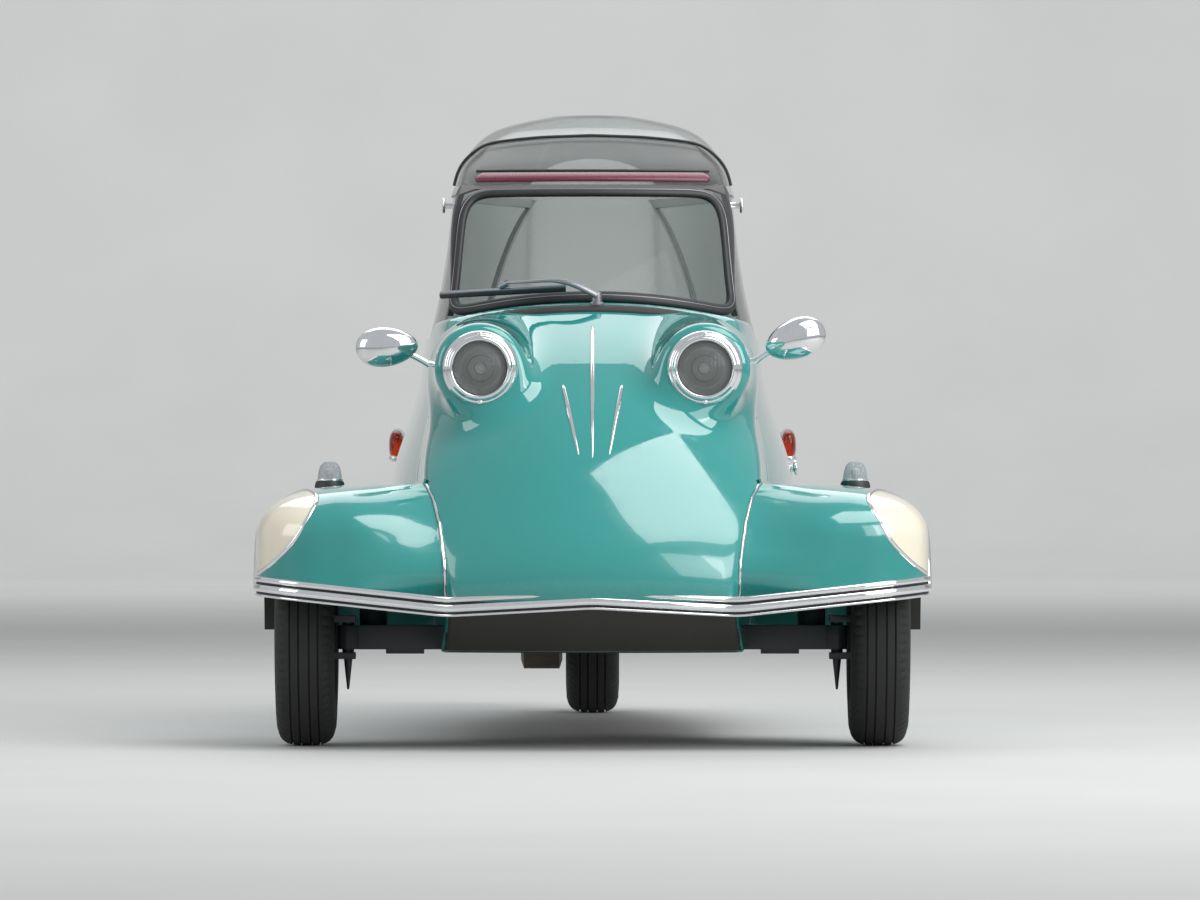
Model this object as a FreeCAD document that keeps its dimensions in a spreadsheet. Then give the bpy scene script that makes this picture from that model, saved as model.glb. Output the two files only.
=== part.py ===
# Bubble car: a three-wheeled tandem two-seater with a side-hinged canopy.
# Millimetres. The car faces -Y, +X is its left side, the ground is z = 0 and
# the origin lies under the middle of its overall box.
import FreeCAD
import Part
import functools
import math
import os
import Sketcher

from FreeCAD import Rotation, Vector

# Driving sizes, one row each: alias, value, what it is
SIZES = [
    ("front_axle", -1000, "front axle, along the car"),
    ("rear_axle", 1030, "rear axle, along the car"),
    ("half_track", 526, "middle of a front tyre from the centre line"),
    ("tyre_radius", 207.5, "tyre outside radius"),
    ("tyre_width", 110, "tyre section width"),
    ("tyre_shoulder", 17, "drop of the tread's edge below its crown"),
    ("rim_radius", 103, "bead seat of the wheel"),
    ("rim_width", 72, "width over the rim's flanges"),
    ("rim_flange", 9, "height of a rim flange"),
    ("rim_wall", 6, "thickness of the wheel disc and rim"),
    ("hub_cap_radius", 62, "chrome hub cap"),
    ("king_pin_out", 450, "king pin from the centre line"),
    ("king_pin_radius", 11, "king pin"),
    ("king_pin_gap", 0.5, "running gap round the king pin"),
    ("stub_radius", 10, "stub axle and rear spindle"),
    ("spin_gap", 0.5, "running gap of a wheel on its axle"),
    ("running_gap", 6, "gap round a moving panel"),
    ("panel", 14, "double-skinned body panel, frames included"),
    ("wing_wall", 7, "wing skin with its return flange"),
    ("wing_out", 612, "outside of a wing from the centre line"),
    ("wing_top", 481, "top of a wing"),
    ("wing_rear_hem", 206, "lower edge of a wing behind its wheel"),
    ("wing_spring", 379, "height where a wing's wall turns into its crown"),
    ("wing_crown", 200, "how far in from the wall a wing's flat top begins"),
    ("arch_radius", 230, "wheel arch"),
    ("arch_height", 170, "height of the wheel arch's centre"),
    ("glass", 5, "dome and windscreen thickness"),
    ("seal", 15, "width of the windscreen rubber"),
    ("seal_depth", 12, "depth of the windscreen rubber"),
    ("moulding_middle", 257, "lower edge of the front moulding at the car's middle"),
    ("moulding_seam", 242, "its lower edge where nose and wings meet"),
    ("moulding_end", 282, "its lower edge at a wing's outer side"),
    ("lamp_out", 205, "headlamp from the centre line"),
    ("lamp_height", 693, "headlamp centre above the ground"),
    ("lamp_face", -1172, "front of a headlamp pod"),
    ("lamp_pod", 84, "radius of a headlamp pod"),
    ("lamp_rim", 67.5, "outside radius of a headlamp rim"),
    ("lamp_lens", 50, "radius of a headlamp lens"),
    ("lamp_wall", 7, "wall of a headlamp pod"),
    ("bar_half", 150, "half the width of the handlebar"),
    ("bar_radius", 11, "tube radius of the handlebar"),
    ("column_radius", 14, "steering column"),
    ("seat_half", 205, "half width of a seat"),
    ("seating", 0.3, "clearance of a piece that sits on another"),
    ("frame_tube", 19, "radius of a chassis tube"),
    ("handle_length", 46, "canopy handle, root to tip"),
    ("knob_radius", 14, "window knob"),
]

DOC = FreeCAD.newDocument("bubble_car")
SHEET = DOC.addObject("Spreadsheet::Sheet", "sizes")
for row, (alias, value, meaning) in enumerate(SIZES, start=1):
    SHEET.set("A%d" % row, meaning)
    SHEET.set("B%d" % row, str(value))
    SHEET.setAlias("B%d" % row, alias)
DOC.recompute()


class Size:
    """A number together with the sheet expression that it comes from."""

    def __init__(self, value, text):
        self.value = float(value)
        self.text = text

    def __float__(self):
        return self.value

    def joined(self, other, sign, swap=False):
        second = other if isinstance(other, Size) else Size(other, repr(other))
        left, right = (second, self) if swap else (self, second)
        results = {
            "+": left.value + right.value,
            "-": left.value - right.value,
            "*": left.value * right.value,
            "/": left.value / right.value if right.value else 0.0,
        }
        return Size(results[sign], "(%s %s %s)" % (left.text, sign, right.text))

    def __add__(self, other):
        return self.joined(other, "+")

    def __radd__(self, other):
        return self.joined(other, "+", True)

    def __sub__(self, other):
        return self.joined(other, "-")

    def __rsub__(self, other):
        return self.joined(other, "-", True)

    def __mul__(self, other):
        return self.joined(other, "*")

    def __rmul__(self, other):
        return self.joined(other, "*", True)

    def __truediv__(self, other):
        return self.joined(other, "/")

    def __neg__(self):
        return self.joined(-1, "*")


class Sizes:
    """Attribute access to the cells of the sheet."""

    def __getattr__(self, alias):
        return Size(getattr(SHEET, alias), "sizes.%s" % alias)


size = Sizes()
NODES = []


# Helpers for parametric bodies

def bind(thing, path, amount):
    """Set a property, by expression where the amount comes from the sheet."""
    if isinstance(amount, Size):
        thing.setExpression(path, amount.text)
    else:
        thing.setExpression(path, repr(float(amount)))


def new_body(name):
    body = DOC.addObject("PartDesign::Body", name)
    body.Label = name
    DOC.recompute()
    return body


def node(thing):
    """Count an object as a piece of the car that is written to its own file."""
    NODES.append(thing)
    return thing


def fix_point(sketch, curve, end, point):
    """Hold one end of a sketch curve at a pair of sizes."""
    for kind, amount in (("DistanceX", point[0]), ("DistanceY", point[1])):
        index = sketch.addConstraint(Sketcher.Constraint(kind, -1, 1, curve, end, float(amount)))
        if isinstance(amount, Size):
            sketch.setExpression("Constraints[%d]" % index, amount.text)


def draw(body, name, plane, corners):
    """Closed sketch. A corner is (x, y), or (x, y, via) with an arc through via to the next."""
    sketch = body.newObject("Sketcher::SketchObject", name)
    origin_plane = [f for f in body.Origin.OriginFeatures if f.Role == plane][0]
    sketch.AttachmentSupport = [(origin_plane, "")]
    sketch.MapMode = "FlatFace"
    count = len(corners)
    flat = [Vector(float(c[0]), float(c[1]), 0) for c in corners]
    ends = []
    for i, corner in enumerate(corners):
        start, stop = flat[i], flat[(i + 1) % count]
        if len(corner) == 2:
            curve = sketch.addGeometry(Part.LineSegment(start, stop), False)
            ends.append((curve, 1, 2))
            continue
        via = Vector(float(corner[2][0]), float(corner[2][1]), 0)
        turns_left = (via - start).cross(stop - via).z > 0
        curve = sketch.addGeometry(Part.Arc(start, via, stop), False)
        ends.append((curve, 1, 2) if turns_left else (curve, 2, 1))
        mark = sketch.addGeometry(Part.Point(via), True)
        fix_point(sketch, mark, 1, corner[2])
        sketch.addConstraint(Sketcher.Constraint("PointOnObject", mark, 1, curve))
    for i, corner in enumerate(corners):
        curve, first, last = ends[i]
        follower, follower_first, _ = ends[(i + 1) % count]
        sketch.addConstraint(Sketcher.Constraint("Coincident", curve, last, follower, follower_first))
        fix_point(sketch, curve, first, corner)
    return sketch


def place(thing, x, y, z):
    for axis, amount in (("x", x), ("y", y), ("z", z)):
        bind(thing, "Placement.Base.%s" % axis, amount)
    return thing


def revolved(name, plane, axis, corners):
    """Body turned about one of its sketch's axes."""
    body = new_body(name)
    sketch = draw(body, name + "_section", plane, corners)
    DOC.recompute()
    turn = body.newObject("PartDesign::Revolution", name + "_turn")
    turn.Profile = sketch
    turn.ReferenceAxis = (sketch, [axis])
    turn.Angle = 360
    body.Tip = turn
    return body


def feature(name, shape):
    """Piece whose shape is built with Part's own functions."""
    thing = DOC.addObject("Part::Feature", name)
    thing.Label = name
    thing.Shape = shape
    return node(thing)


# Helpers for the body's skins

def arc(first, via, last):
    return Part.Arc(Vector(*first), Vector(*via), Vector(*last)).toShape()


def line(first, last):
    return Part.makeLine(Vector(*first), Vector(*last))


def prism(points, span, axis="X"):
    """Side-view (Y, z) or front-view (X, z) polygon, drawn out both ways by span."""
    if axis == "X":
        ring = [Vector(-span, a, b) for a, b in points]
        reach = Vector(2 * span, 0, 0)
    else:
        ring = [Vector(a, -span, b) for a, b in points]
        reach = Vector(0, 2 * span, 0)
    return Part.Face(Part.makePolygon(ring + ring[:1])).extrude(reach)


def tube(points, radius):
    """Round tube along straight runs, with a ball at each corner."""
    solid = None
    for first, last in zip(points, points[1:]):
        start, stop = Vector(*first), Vector(*last)
        run = Part.makeCylinder(radius, (stop - start).Length, start, stop - start)
        solid = run if solid is None else solid.fuse([run, Part.makeSphere(radius, start)])
    return solid.removeSplitter()


def cylinder(radius, length, start, along):
    return Part.makeCylinder(radius, length, Vector(*start), Vector(*along))


def box(low, high):
    corner = Vector(*low)
    return Part.makeBox(high[0] - low[0], high[1] - low[1], high[2] - low[2], corner)


# The hull: plan outlines at rising levels. Columns: level, nose tip, nose half
# width and its place along the car, half width at the cowl, half width abreast
# of the driver, tail half width and its place, tail end.
COWL_PLACE = -800
HULL = (
    (175, -1295, 276, -1245, 286, 300, 120, 1150, 1230),
    (300, -1402, 264, -1350, 306, 362, 150, 1285, 1380),
    (430, -1365, 298, -1262, 326, 388, 150, 1298, 1403),
    (600, -1235, 296, -1050, 306, 350, 120, 1200, 1275),
    (700, -1105, 284, -930, 292, 318, 96, 1080, 1125),
    (765, -985, 272, -868, 284, 306, 76, 975, 1005),
    (830, -840, 244, -812, 262, 292, 60, 850, 875),
)

# The glazing: the same kind of outlines. Columns: level, front, front half
# width and its place, half width abreast of the driver, rear half width and
# its place, rear end.
GLAZING = (
    (735, -884, 288, -745, 308, 150, 850, 985),
    (835, -838, 264, -690, 286, 140, 760, 885),
    (1040, -605, 246, -545, 250, 130, 480, 600),
    (1110, -420, 205, -350, 222, 110, 335, 450),
    (1165, -225, 130, -170, 172, 70, 190, 290),
    (1192, -90, 60, -60, 75, 30, 70, 110),
)


def hull_outline(row, inset):
    z, tip, nose, nose_place, cowl, cabin, tail, tail_place, end = row
    nose, cowl, cabin, tail = nose - inset, cowl - inset, cabin - inset, tail - inset
    tip, end = tip + inset, end - inset
    nose_place = nose_place + 0.4 * inset
    tail_place = tail_place - 0.4 * inset
    edges = [arc((-nose, nose_place, z), (0, tip, z), (nose, nose_place, z)),
             line((nose, nose_place, z), (cowl, COWL_PLACE, z)),
             arc((cowl, COWL_PLACE, z), (cabin, 0, z), (tail, tail_place, z)),
             arc((tail, tail_place, z), (0, end, z), (-tail, tail_place, z)),
             arc((-tail, tail_place, z), (-cabin, 0, z), (-cowl, COWL_PLACE, z)),
             line((-cowl, COWL_PLACE, z), (-nose, nose_place, z))]
    return Part.Wire(edges)


def glazing_outline(row, inset):
    z, front, corner, corner_place, cabin, rear, rear_place, end = row
    corner, cabin, rear = corner - inset, cabin - inset, rear - inset
    front, end = front + inset, end - inset
    edges = [arc((-corner, corner_place, z), (0, front, z), (corner, corner_place, z)),
             arc((corner, corner_place, z), (cabin, 0, z), (rear, rear_place, z)),
             arc((rear, rear_place, z), (0, end, z), (-rear, rear_place, z)),
             arc((-rear, rear_place, z), (-cabin, 0, z), (-corner, corner_place, z))]
    return Part.Wire(edges)


@functools.lru_cache(maxsize=None)
def lofted(table, outline, inset, lift=0):
    """Solid through a table's outlines, inset all round; the first level is lifted, the last one sinks."""
    rows = [(table[0][0] + lift,) + tuple(table[0][1:])] + list(table[1:-1])
    rows.append((table[-1][0] - inset,) + tuple(table[-1][1:]))
    return Part.makeLoft([outline(row, inset) for row in rows], True, False)


PANEL = float(size.panel)
GAP = float(size.running_gap)
GLASS = float(size.glass)
WIDE = 800

hull = lofted(HULL, hull_outline, 0)
glazing = lofted(GLAZING, glazing_outline, 0)
glazing_inside = lofted(GLAZING, glazing_outline, GLASS, -5)

# Crowned top of the nose and cowl, seen from the front
CROWN = 818
CROWN_EDGE = 768
CROWN_HALF = 340
FAR_AHEAD = -1500
FAR_BEHIND = 1500


def under_crown(drop):
    """Everything under the crown of the cowl, less a drop."""
    edge, top = CROWN_EDGE - drop, CROWN - drop
    ring = [(CROWN_HALF, edge), (WIDE, edge), (WIDE, 0), (-WIDE, 0), (-WIDE, edge), (-CROWN_HALF, edge)]
    corners = [(x, FAR_AHEAD, z) for x, z in ring]
    edges = [arc(corners[-1], (0, FAR_AHEAD, top), corners[0])]
    edges += [line(first, last) for first, last in zip(corners, corners[1:])]
    return Part.Face(Part.Wire(edges)).extrude(Vector(0, FAR_BEHIND - FAR_AHEAD, 0))


inside = lofted(HULL, hull_outline, PANEL, PANEL).common(under_crown(PANEL))
skin = hull.cut(inside)

# The canopy's shut line in side view, from the cowl down, back and up to the tail
ABOVE = 840
HIP = 465
DECK = 742
SHUT_LINE = [(-902, ABOVE), (-800, HIP), (0, HIP), (260, 600), (1006, DECK)]
SILL = 752
SILL_FRONT = -640
SILL_REAR = 900
SCREEN_FOOT = -740
SCREEN_FOOT_HEIGHT = 800
NOSE_END = -790
NOSE_STEP = 440
TUB_END = 260
HALF_GAP = GAP / 2
SHUT_END = SHUT_LINE[-1][0]
TUB_TOP = SHUT_LINE[3][1] - HALF_GAP


def shifted(points, along, up):
    return [(y + along, z + up) for y, z in points]


above_shut = shifted(SHUT_LINE[:-1], HALF_GAP, HALF_GAP)
frame_zone = prism(above_shut + [(SHUT_END - HALF_GAP, DECK + HALF_GAP), (SHUT_END - HALF_GAP, SCREEN_FOOT_HEIGHT),
                                 (SILL_REAR, SILL), (SILL_FRONT, SILL), (SCREEN_FOOT, SCREEN_FOOT_HEIGHT),
                                 (NOSE_END, ABOVE)], WIDE)
nose_zone = prism([(FAR_AHEAD, 0), (NOSE_END, 0), (NOSE_END, NOSE_STEP), (SHUT_LINE[1][0] - HALF_GAP, HIP),
                   (SHUT_LINE[0][0] - HALF_GAP, ABOVE), (FAR_AHEAD, ABOVE)], WIDE)
tub_zone = prism([(NOSE_END, 0), (TUB_END, 0), (TUB_END, TUB_TOP), (0, HIP - HALF_GAP),
                  (SHUT_LINE[1][0], HIP - HALF_GAP), (NOSE_END, NOSE_STEP)], WIDE)
tail_zone = prism([(TUB_END, 0), (FAR_BEHIND, 0), (FAR_BEHIND, ABOVE), (SHUT_END + HALF_GAP, ABOVE),
                   (SHUT_END + HALF_GAP, DECK - HALF_GAP), (TUB_END, TUB_TOP)], WIDE)

# Nose with the two headlamp pods let into it
FACE = float(size.lamp_face)
POD = float(size.lamp_pod)
POD_LENGTH = 262
POD_TAPER = 8
POD_CHAMFER = 14
POD_CHAMFER_LENGTH = 30
BOWL_DEPTH = 230
nose = skin.common(nose_zone).common(under_crown(0))
pods = []
pod_bores = []
for side in (-1, 1):
    start = Vector(side * float(size.lamp_out), FACE, float(size.lamp_height))
    back = Vector(0, 1, 0)
    pod = Part.makeCone(POD - POD_CHAMFER, POD, POD_CHAMFER_LENGTH, start, back)
    pod = pod.fuse(Part.makeCone(POD, POD - POD_TAPER, POD_LENGTH - POD_CHAMFER_LENGTH,
                                 start + back * POD_CHAMFER_LENGTH, back))
    pods.append(pod)
    bore = POD - POD_CHAMFER - float(size.lamp_wall)
    pod_bores.append(Part.makeCylinder(bore, BOWL_DEPTH + 5, start - back * 5, back))
nose = nose.fuse(pods).cut(pod_bores)
nose = nose.common(nose_zone)
feature("nose_shell", nose)

tub = skin.common(tub_zone)
feature("tub_shell", tub)

# Tail with its wheel opening and the engine lid let into the deck
LID_FRONT = 1045
LID_REAR = 1268
LID_HALF = 92
LID_LOW = 560
WAY_HALF = 95
WAY_REACH = 260
WAY_TOP = 440
PLATE_HOLES = 60
PLATE_HOLE = 3.25
PLATE_HEIGHT = 369
BACK_AXLE = float(size.rear_axle)
tail = skin.common(tail_zone)
wheel_way = box((-WAY_HALF, BACK_AXLE - WAY_REACH, 0), (WAY_HALF, BACK_AXLE + WAY_REACH, WAY_TOP))
lid_hole = box((-LID_HALF - GAP, LID_FRONT - GAP, LID_LOW), (LID_HALF + GAP, LID_REAR + GAP, ABOVE))
lid = tail.common(box((-LID_HALF, LID_FRONT, LID_LOW), (LID_HALF, LID_REAR, ABOVE)))
plate_holes = [cylinder(PLATE_HOLE, 100, (side * PLATE_HOLES, 1330, PLATE_HEIGHT), (0, 1, 0)) for side in (-1, 1)]
tail = tail.cut([wheel_way, lid_hole] + plate_holes)
feature("tail_shell", tail)
feature("engine_lid", lid)

frame = skin.common(frame_zone).common(under_crown(0)).cut(glazing)
feature("canopy_frame", frame)

# Glazing: windscreen in its rubber, side panes, the moulded dome and their frame
SCREEN_TOP = 1036
RAIL_LOW = 1028
RAIL_HIGH = 1044
RAIL_END = 500
SEAL = float(size.seal)
DEPTH = float(size.seal_depth)
SCREEN_REAR_TOP = -566
DOME_END = RAIL_END + 14
DOME_FOOT = 740


def screen_zone(margin):
    """Side view of the windscreen's opening, less a margin all round."""
    sides = prism([(-1000, 700), (SCREEN_FOOT + 20 - margin, 700), (SCREEN_FOOT + 20 - margin, 780),
                   (SCREEN_REAR_TOP - margin, SCREEN_TOP - margin), (-1000, SCREEN_TOP - margin)], WIDE)
    return sides.cut(under_crown(4 - margin))


pane = glazing.cut(glazing_inside)
thick_pane = lofted(GLAZING, glazing_outline, -2).cut(lofted(GLAZING, glazing_outline, GLASS + 3, -5))
seal_skin = lofted(GLAZING, glazing_outline, -DEPTH / 2).cut(lofted(GLAZING, glazing_outline, DEPTH / 2, -5))
feature("windscreen_glass", pane.common(screen_zone(SEAL)))
feature("windscreen_seal", seal_skin.common(screen_zone(0)).cut(screen_zone(SEAL)).cut(frame))

side_zone = prism([(-716, 753), (RAIL_END, 753), (RAIL_END, RAIL_LOW), (-532, RAIL_LOW), (-690, 820)], WIDE)
side_skin = pane.common(side_zone)
feature("side_windows", side_skin)
dome_zone = prism([(-1000, RAIL_HIGH), (DOME_END, RAIL_HIGH), (DOME_END, DOME_FOOT), (1100, DOME_FOOT),
                   (1100, 1300), (-1000, 1300)], WIDE)
dome_skin = pane.common(dome_zone)
feature("dome", dome_skin)
frame_rest = thick_pane.cut([screen_zone(0), side_zone, dome_zone, frame])
feature("window_frame", frame_rest.common(box((-WIDE, -700, SILL), (WIDE, DOME_END, RAIL_HIGH))))

SEATING = float(size.seating)
HEADER_DEPTH = 4
HEADER_TOP = 1068
header = lofted(GLAZING, glazing_outline, -HEADER_DEPTH).cut(lofted(GLAZING, glazing_outline, -SEATING))
feature("header_rail", header.common(box((-WIDE, -700, RAIL_HIGH + 1), (WIDE, -455, HEADER_TOP))))


def under_dome(depth):
    """Shell that lies against the inside of the dome."""
    outside = lofted(GLAZING, glazing_outline, GLASS + SEATING, -5)
    return outside.cut(lofted(GLAZING, glazing_outline, GLASS + depth, -5))


BLIND_FRONT, BLIND_REAR, BLIND_LOW = -150, 400, 1062
feature("sun_blind", under_dome(5).common(box((-WIDE, BLIND_FRONT, BLIND_LOW), (WIDE, BLIND_REAR, 1300))))
HOOP_PLACE = -300
feature("dome_hoop", under_dome(9).common(box((-WIDE, HOOP_PLACE - 6, RAIL_HIGH), (WIDE, HOOP_PLACE + 6, 1300))))


def both_sides(shape):
    """A piece and its mirror image across the car's middle."""
    return Part.makeCompound([shape, shape.mirror(Vector(0, 0, 0), Vector(1, 0, 0))])


# Window knobs, canopy handle and wiper
def turned(stations, start, along):
    """Solid turned about a line: stations are (distance, radius) along it."""
    ring = [Vector(stations[0][0], 0, 0)]
    ring += [Vector(distance, radius, 0) for distance, radius in stations]
    ring.append(Vector(stations[-1][0], 0, 0))
    face = Part.Face(Part.makePolygon(ring + ring[:1]))
    solid = face.revolve(Vector(0, 0, 0), Vector(1, 0, 0), 360)
    solid.Placement = FreeCAD.Placement(Vector(*start), Rotation(Vector(1, 0, 0), Vector(*along)))
    return solid


KNOB = float(size.knob_radius)
knob = turned([(0, 5), (30, 5), (30.5, KNOB), (35, KNOB)], (250, -450, 1008), (1, 0, 0))
feature("window_knobs", both_sides(knob.cut(glazing)))
HANDLE = float(size.handle_length)
handle = turned([(0, 17), (3, 17), (3.5, 7), (HANDLE * 0.45, 7), (HANDLE * 0.46, 15), (HANDLE * 0.6, 15)],
                (372, -20, 505), (1, 0, 0.12)).cut(hull)
feature("canopy_handle", handle)


def screen_face(x, z):
    """Place along the car, near enough, of the windscreen's outside at x and z."""
    low, high = GLAZING[1], GLAZING[2]
    share = (z - low[0]) / (high[0] - low[0])
    front, corner, corner_place = [low[i] + share * (high[i] - low[i]) for i in (1, 2, 3)]
    sagitta = corner_place - front
    radius = (corner ** 2 + sagitta ** 2) / (2 * sagitta)
    return front + radius - math.sqrt(radius ** 2 - x ** 2)


def before_screen(x, z, stand_off):
    return (x, screen_face(x, z) - stand_off, z)


blade = tube([before_screen(-236, 846, 24), before_screen(-140, 850, 24), before_screen(-48, 854, 24)], 4)
arm = tube([(8, -884, 830), (-30, -880, 852), before_screen(-140, 856, 29)], 4.5)
wiper_post = cylinder(8, 24, (8, -886, 812), (0, 0, 1))
wiper = blade.fuse([arm, wiper_post]).cut(frame)
feature("wiper", wiper)

# Front wings
WING_OUT = float(size.wing_out)
WING_TOP = float(size.wing_top)
WING_WALL = float(size.wing_wall)
AXLE = float(size.front_axle)
WING_SPRING = float(size.wing_spring)
WING_CROWN = float(size.wing_crown)
WING_INNER = 240
NOSE_CORNER = 150
TAIL_CORNER = 220
WING_FRONT = AXLE - 335
WING_REAR = AXLE + 330
FRONT_TURN = math.radians(10)
REAR_TURN = math.radians(12)
# Share of the way from the wall in to the flat top, at each level of the crown
CROWN_SHARES = (0, 0.05, 0.17, 0.38, 0.65, 1)


def wing_outline(share, inset, low):
    """Plan of a wing: a shallow arc across its front, two corner arcs and a straight back, all tangent."""
    drawn_in = share * WING_CROWN + inset
    out = WING_OUT - drawn_in
    nose_radius = NOSE_CORNER * (1 - 0.55 * share) - inset
    tail_radius = TAIL_CORNER * (1 - 0.7 * share) - inset
    nose_middle = WING_FRONT + drawn_in + nose_radius
    tail_middle = WING_REAR - drawn_in - tail_radius

    def on_nose(turn):
        return (out - nose_radius + nose_radius * math.sin(turn), nose_middle - nose_radius * math.cos(turn), low)

    def on_tail(turn):
        return (out - tail_radius + tail_radius * math.sin(turn), tail_middle + tail_radius * math.cos(turn), low)

    start = on_nose(FRONT_TURN)
    front_radius = (start[0] - WING_INNER) / math.sin(FRONT_TURN)
    front_centre = start[1] + front_radius * math.cos(FRONT_TURN)

    def on_front(turn):
        return (WING_INNER + front_radius * math.sin(turn), front_centre - front_radius * math.cos(turn), low)

    stop = on_tail(REAR_TURN)
    inner_rear = (WING_INNER, stop[1] + (stop[0] - WING_INNER) * math.tan(REAR_TURN), low)
    quarter = math.pi / 2
    return Part.Wire([arc(on_front(0), on_front(FRONT_TURN / 2), start),
                      arc(start, on_nose((FRONT_TURN + quarter) / 2), on_nose(quarter)),
                      line(on_nose(quarter), on_tail(quarter)),
                      arc(on_tail(quarter), on_tail((REAR_TURN + quarter) / 2), stop),
                      line(stop, inner_rear),
                      line(inner_rear, on_front(0))])


def wing_solid(inset, low):
    """A wing's wall with its crown on top."""
    wall = Part.Face(wing_outline(0, inset, low)).extrude(Vector(0, 0, WING_SPRING - low))
    rise = WING_TOP - inset - WING_SPRING
    levels = [wing_outline(share, inset, WING_SPRING + rise * math.sqrt(1 - (1 - share) ** 2))
              for share in CROWN_SHARES]
    return wall.fuse(Part.makeLoft(levels, True, False))


REAR_HEM = float(size.wing_rear_hem)
outer_wing = wing_solid(0, REAR_HEM)
inner_wing = wing_solid(WING_WALL, REAR_HEM - 10)
arch = cylinder(float(size.arch_radius), 200, (500, AXLE, float(size.arch_height)), (1, 0, 0))
MOULDING_END = AXLE - 195
SEAM_OUT = 262


def moulding_line(up):
    """Front view of the moulding's lower edge, raised by up: a shallow V between two rising arms."""
    middle = float(size.moulding_middle) + up
    seam = float(size.moulding_seam) + up
    end = float(size.moulding_end) + up
    return [(-WING_OUT - 30, end), (-SEAM_OUT, seam), (0, middle), (SEAM_OUT, seam), (WING_OUT + 30, end)]


under_nose = prism(moulding_line(0) + [(WING_OUT + 30, 0), (-WING_OUT - 30, 0)], 1500, "Y")
under_nose = under_nose.common(box((200, -1500, 0), (700, AXLE - 150, 400)))
wing = outer_wing.cut([inner_wing, arch, under_nose]).cut(hull)
feature("wing_left", wing)
feature("wing_right", wing.mirror(Vector(0, 0, 0), Vector(1, 0, 0)))

# Front moulding: three ridges. Columns: bottom above the moulding's lower edge, height, depth
RIDGES = [(0, 5, 7), (5, 3.5, 4), (8.5, 14, 9), (22.5, 3.5, 4), (26, 11, 9)]
bands = []
for bottom, height, depth in RIDGES:
    slab = prism(moulding_line(bottom) + moulding_line(bottom + height)[::-1], 1500, "Y")
    slab = slab.common(box((-700, -1450, 200), (700, MOULDING_END, 400)))
    wing_band = Part.Face(wing_outline(0, -depth, 220)).extrude(Vector(0, 0, 120))
    both = [wing_band, wing_band.mirror(Vector(0, 0, 0), Vector(1, 0, 0))]
    bands.append(lofted(HULL, hull_outline, -depth).fuse(both).common(slab))
moulding = bands[0].fuse(bands[1:])
body_mass = hull.fuse([outer_wing, outer_wing.mirror(Vector(0, 0, 0), Vector(1, 0, 0))])
feature("front_moulding", moulding.cut(body_mass).removeSplitter())

# Chrome spears down the nose. Columns: top x and z, foot x and z, half width
SPEARS = [(0, 773, 0, 529, 4.4), (-54, 661, -24, 536, 4.4), (54, 661, 24, 536, 4.4)]
proud = lofted(HULL, hull_outline, -5).cut(hull)
spears = []
for top_x, top_z, foot_x, foot_z, half in SPEARS:
    wide_x = foot_x + (top_x - foot_x) * 0.3
    wide_z = foot_z + (top_z - foot_z) * 0.3
    blade_form = prism([(top_x, top_z), (wide_x + half, wide_z), (foot_x, foot_z), (wide_x - half, wide_z)],
                       1500, "Y")
    spears.append(proud.common(blade_form).common(box((-300, -1500, 400), (300, -800, 900))))
feature("nose_spears", Part.makeCompound(spears))

# Lamps
RIM = float(size.lamp_rim)
LENS = float(size.lamp_lens)
LAMP_AT = (float(size.lamp_out), FACE, float(size.lamp_height))
MARKER_OUT = 483
MARKER_PLACE = AXLE - 30
MARKER_LOW = 473
SIDE_LAMP_AT = (390, 310, 550)
TAIL_LAMP_AT = (86, 1330, 478)
# Stations of the turned lamp parts: distance along the axis, radius
RIM_STATIONS = [(-16, RIM - 1), (-12, RIM + 2), (0, RIM + 2), (0, RIM - 4)]
LENS_STATIONS = [(-20, 12), (-18, 28), (-14, 42), (-9, LENS - SEATING), (-3, LENS - SEATING), (-3, LENS - 6)]
MARKER_BASE_STATIONS = [(-16, 27), (7, 27), (11, 26), (15, 23)]
MARKER_LENS_STATIONS = [(0, 22), (6, 22), (26, 18), (32, 13), (34, 6)]
SIDE_LAMP_STATIONS = [(-22, 5), (-20, 11), (-8, 15), (14, 15), (26, 10), (30, 4)]
TAIL_LAMP_STATIONS = [(0, 26), (44, 26), (50, 22), (53, 10)]
lamp_ring = turned(RIM_STATIONS, LAMP_AT, (0, 1, 0))
lamp_ring = lamp_ring.cut(cylinder(LENS, 60, (LAMP_AT[0], FACE - 30, LAMP_AT[2]), (0, 1, 0)))
feature("headlamp_rims", both_sides(lamp_ring))
feature("headlamp_lenses", both_sides(turned(LENS_STATIONS, LAMP_AT, (0, 1, 0))))
marker_at = (MARKER_OUT, MARKER_PLACE, MARKER_LOW)
marker_seat = (MARKER_OUT, MARKER_PLACE, MARKER_LOW + MARKER_BASE_STATIONS[-1][0])
marker_base = turned(MARKER_BASE_STATIONS, marker_at, (0, 0, 1)).cut(outer_wing)
feature("marker_lamp_bases", both_sides(marker_base))
feature("marker_lamp_lenses", both_sides(turned(MARKER_LENS_STATIONS, marker_seat, (0, 0, 1))))
side_lamp = turned(SIDE_LAMP_STATIONS, SIDE_LAMP_AT, (0, 1, 0))
side_lamp = side_lamp.fuse(cylinder(9, 60, (SIDE_LAMP_AT[0] - 65,) + SIDE_LAMP_AT[1:], (1, 0, 0)))
feature("side_lamps", both_sides(side_lamp.cut(hull)))
feature("tail_lamps", both_sides(turned(TAIL_LAMP_STATIONS, TAIL_LAMP_AT, (0, 1, 0)).cut(hull)))

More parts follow.
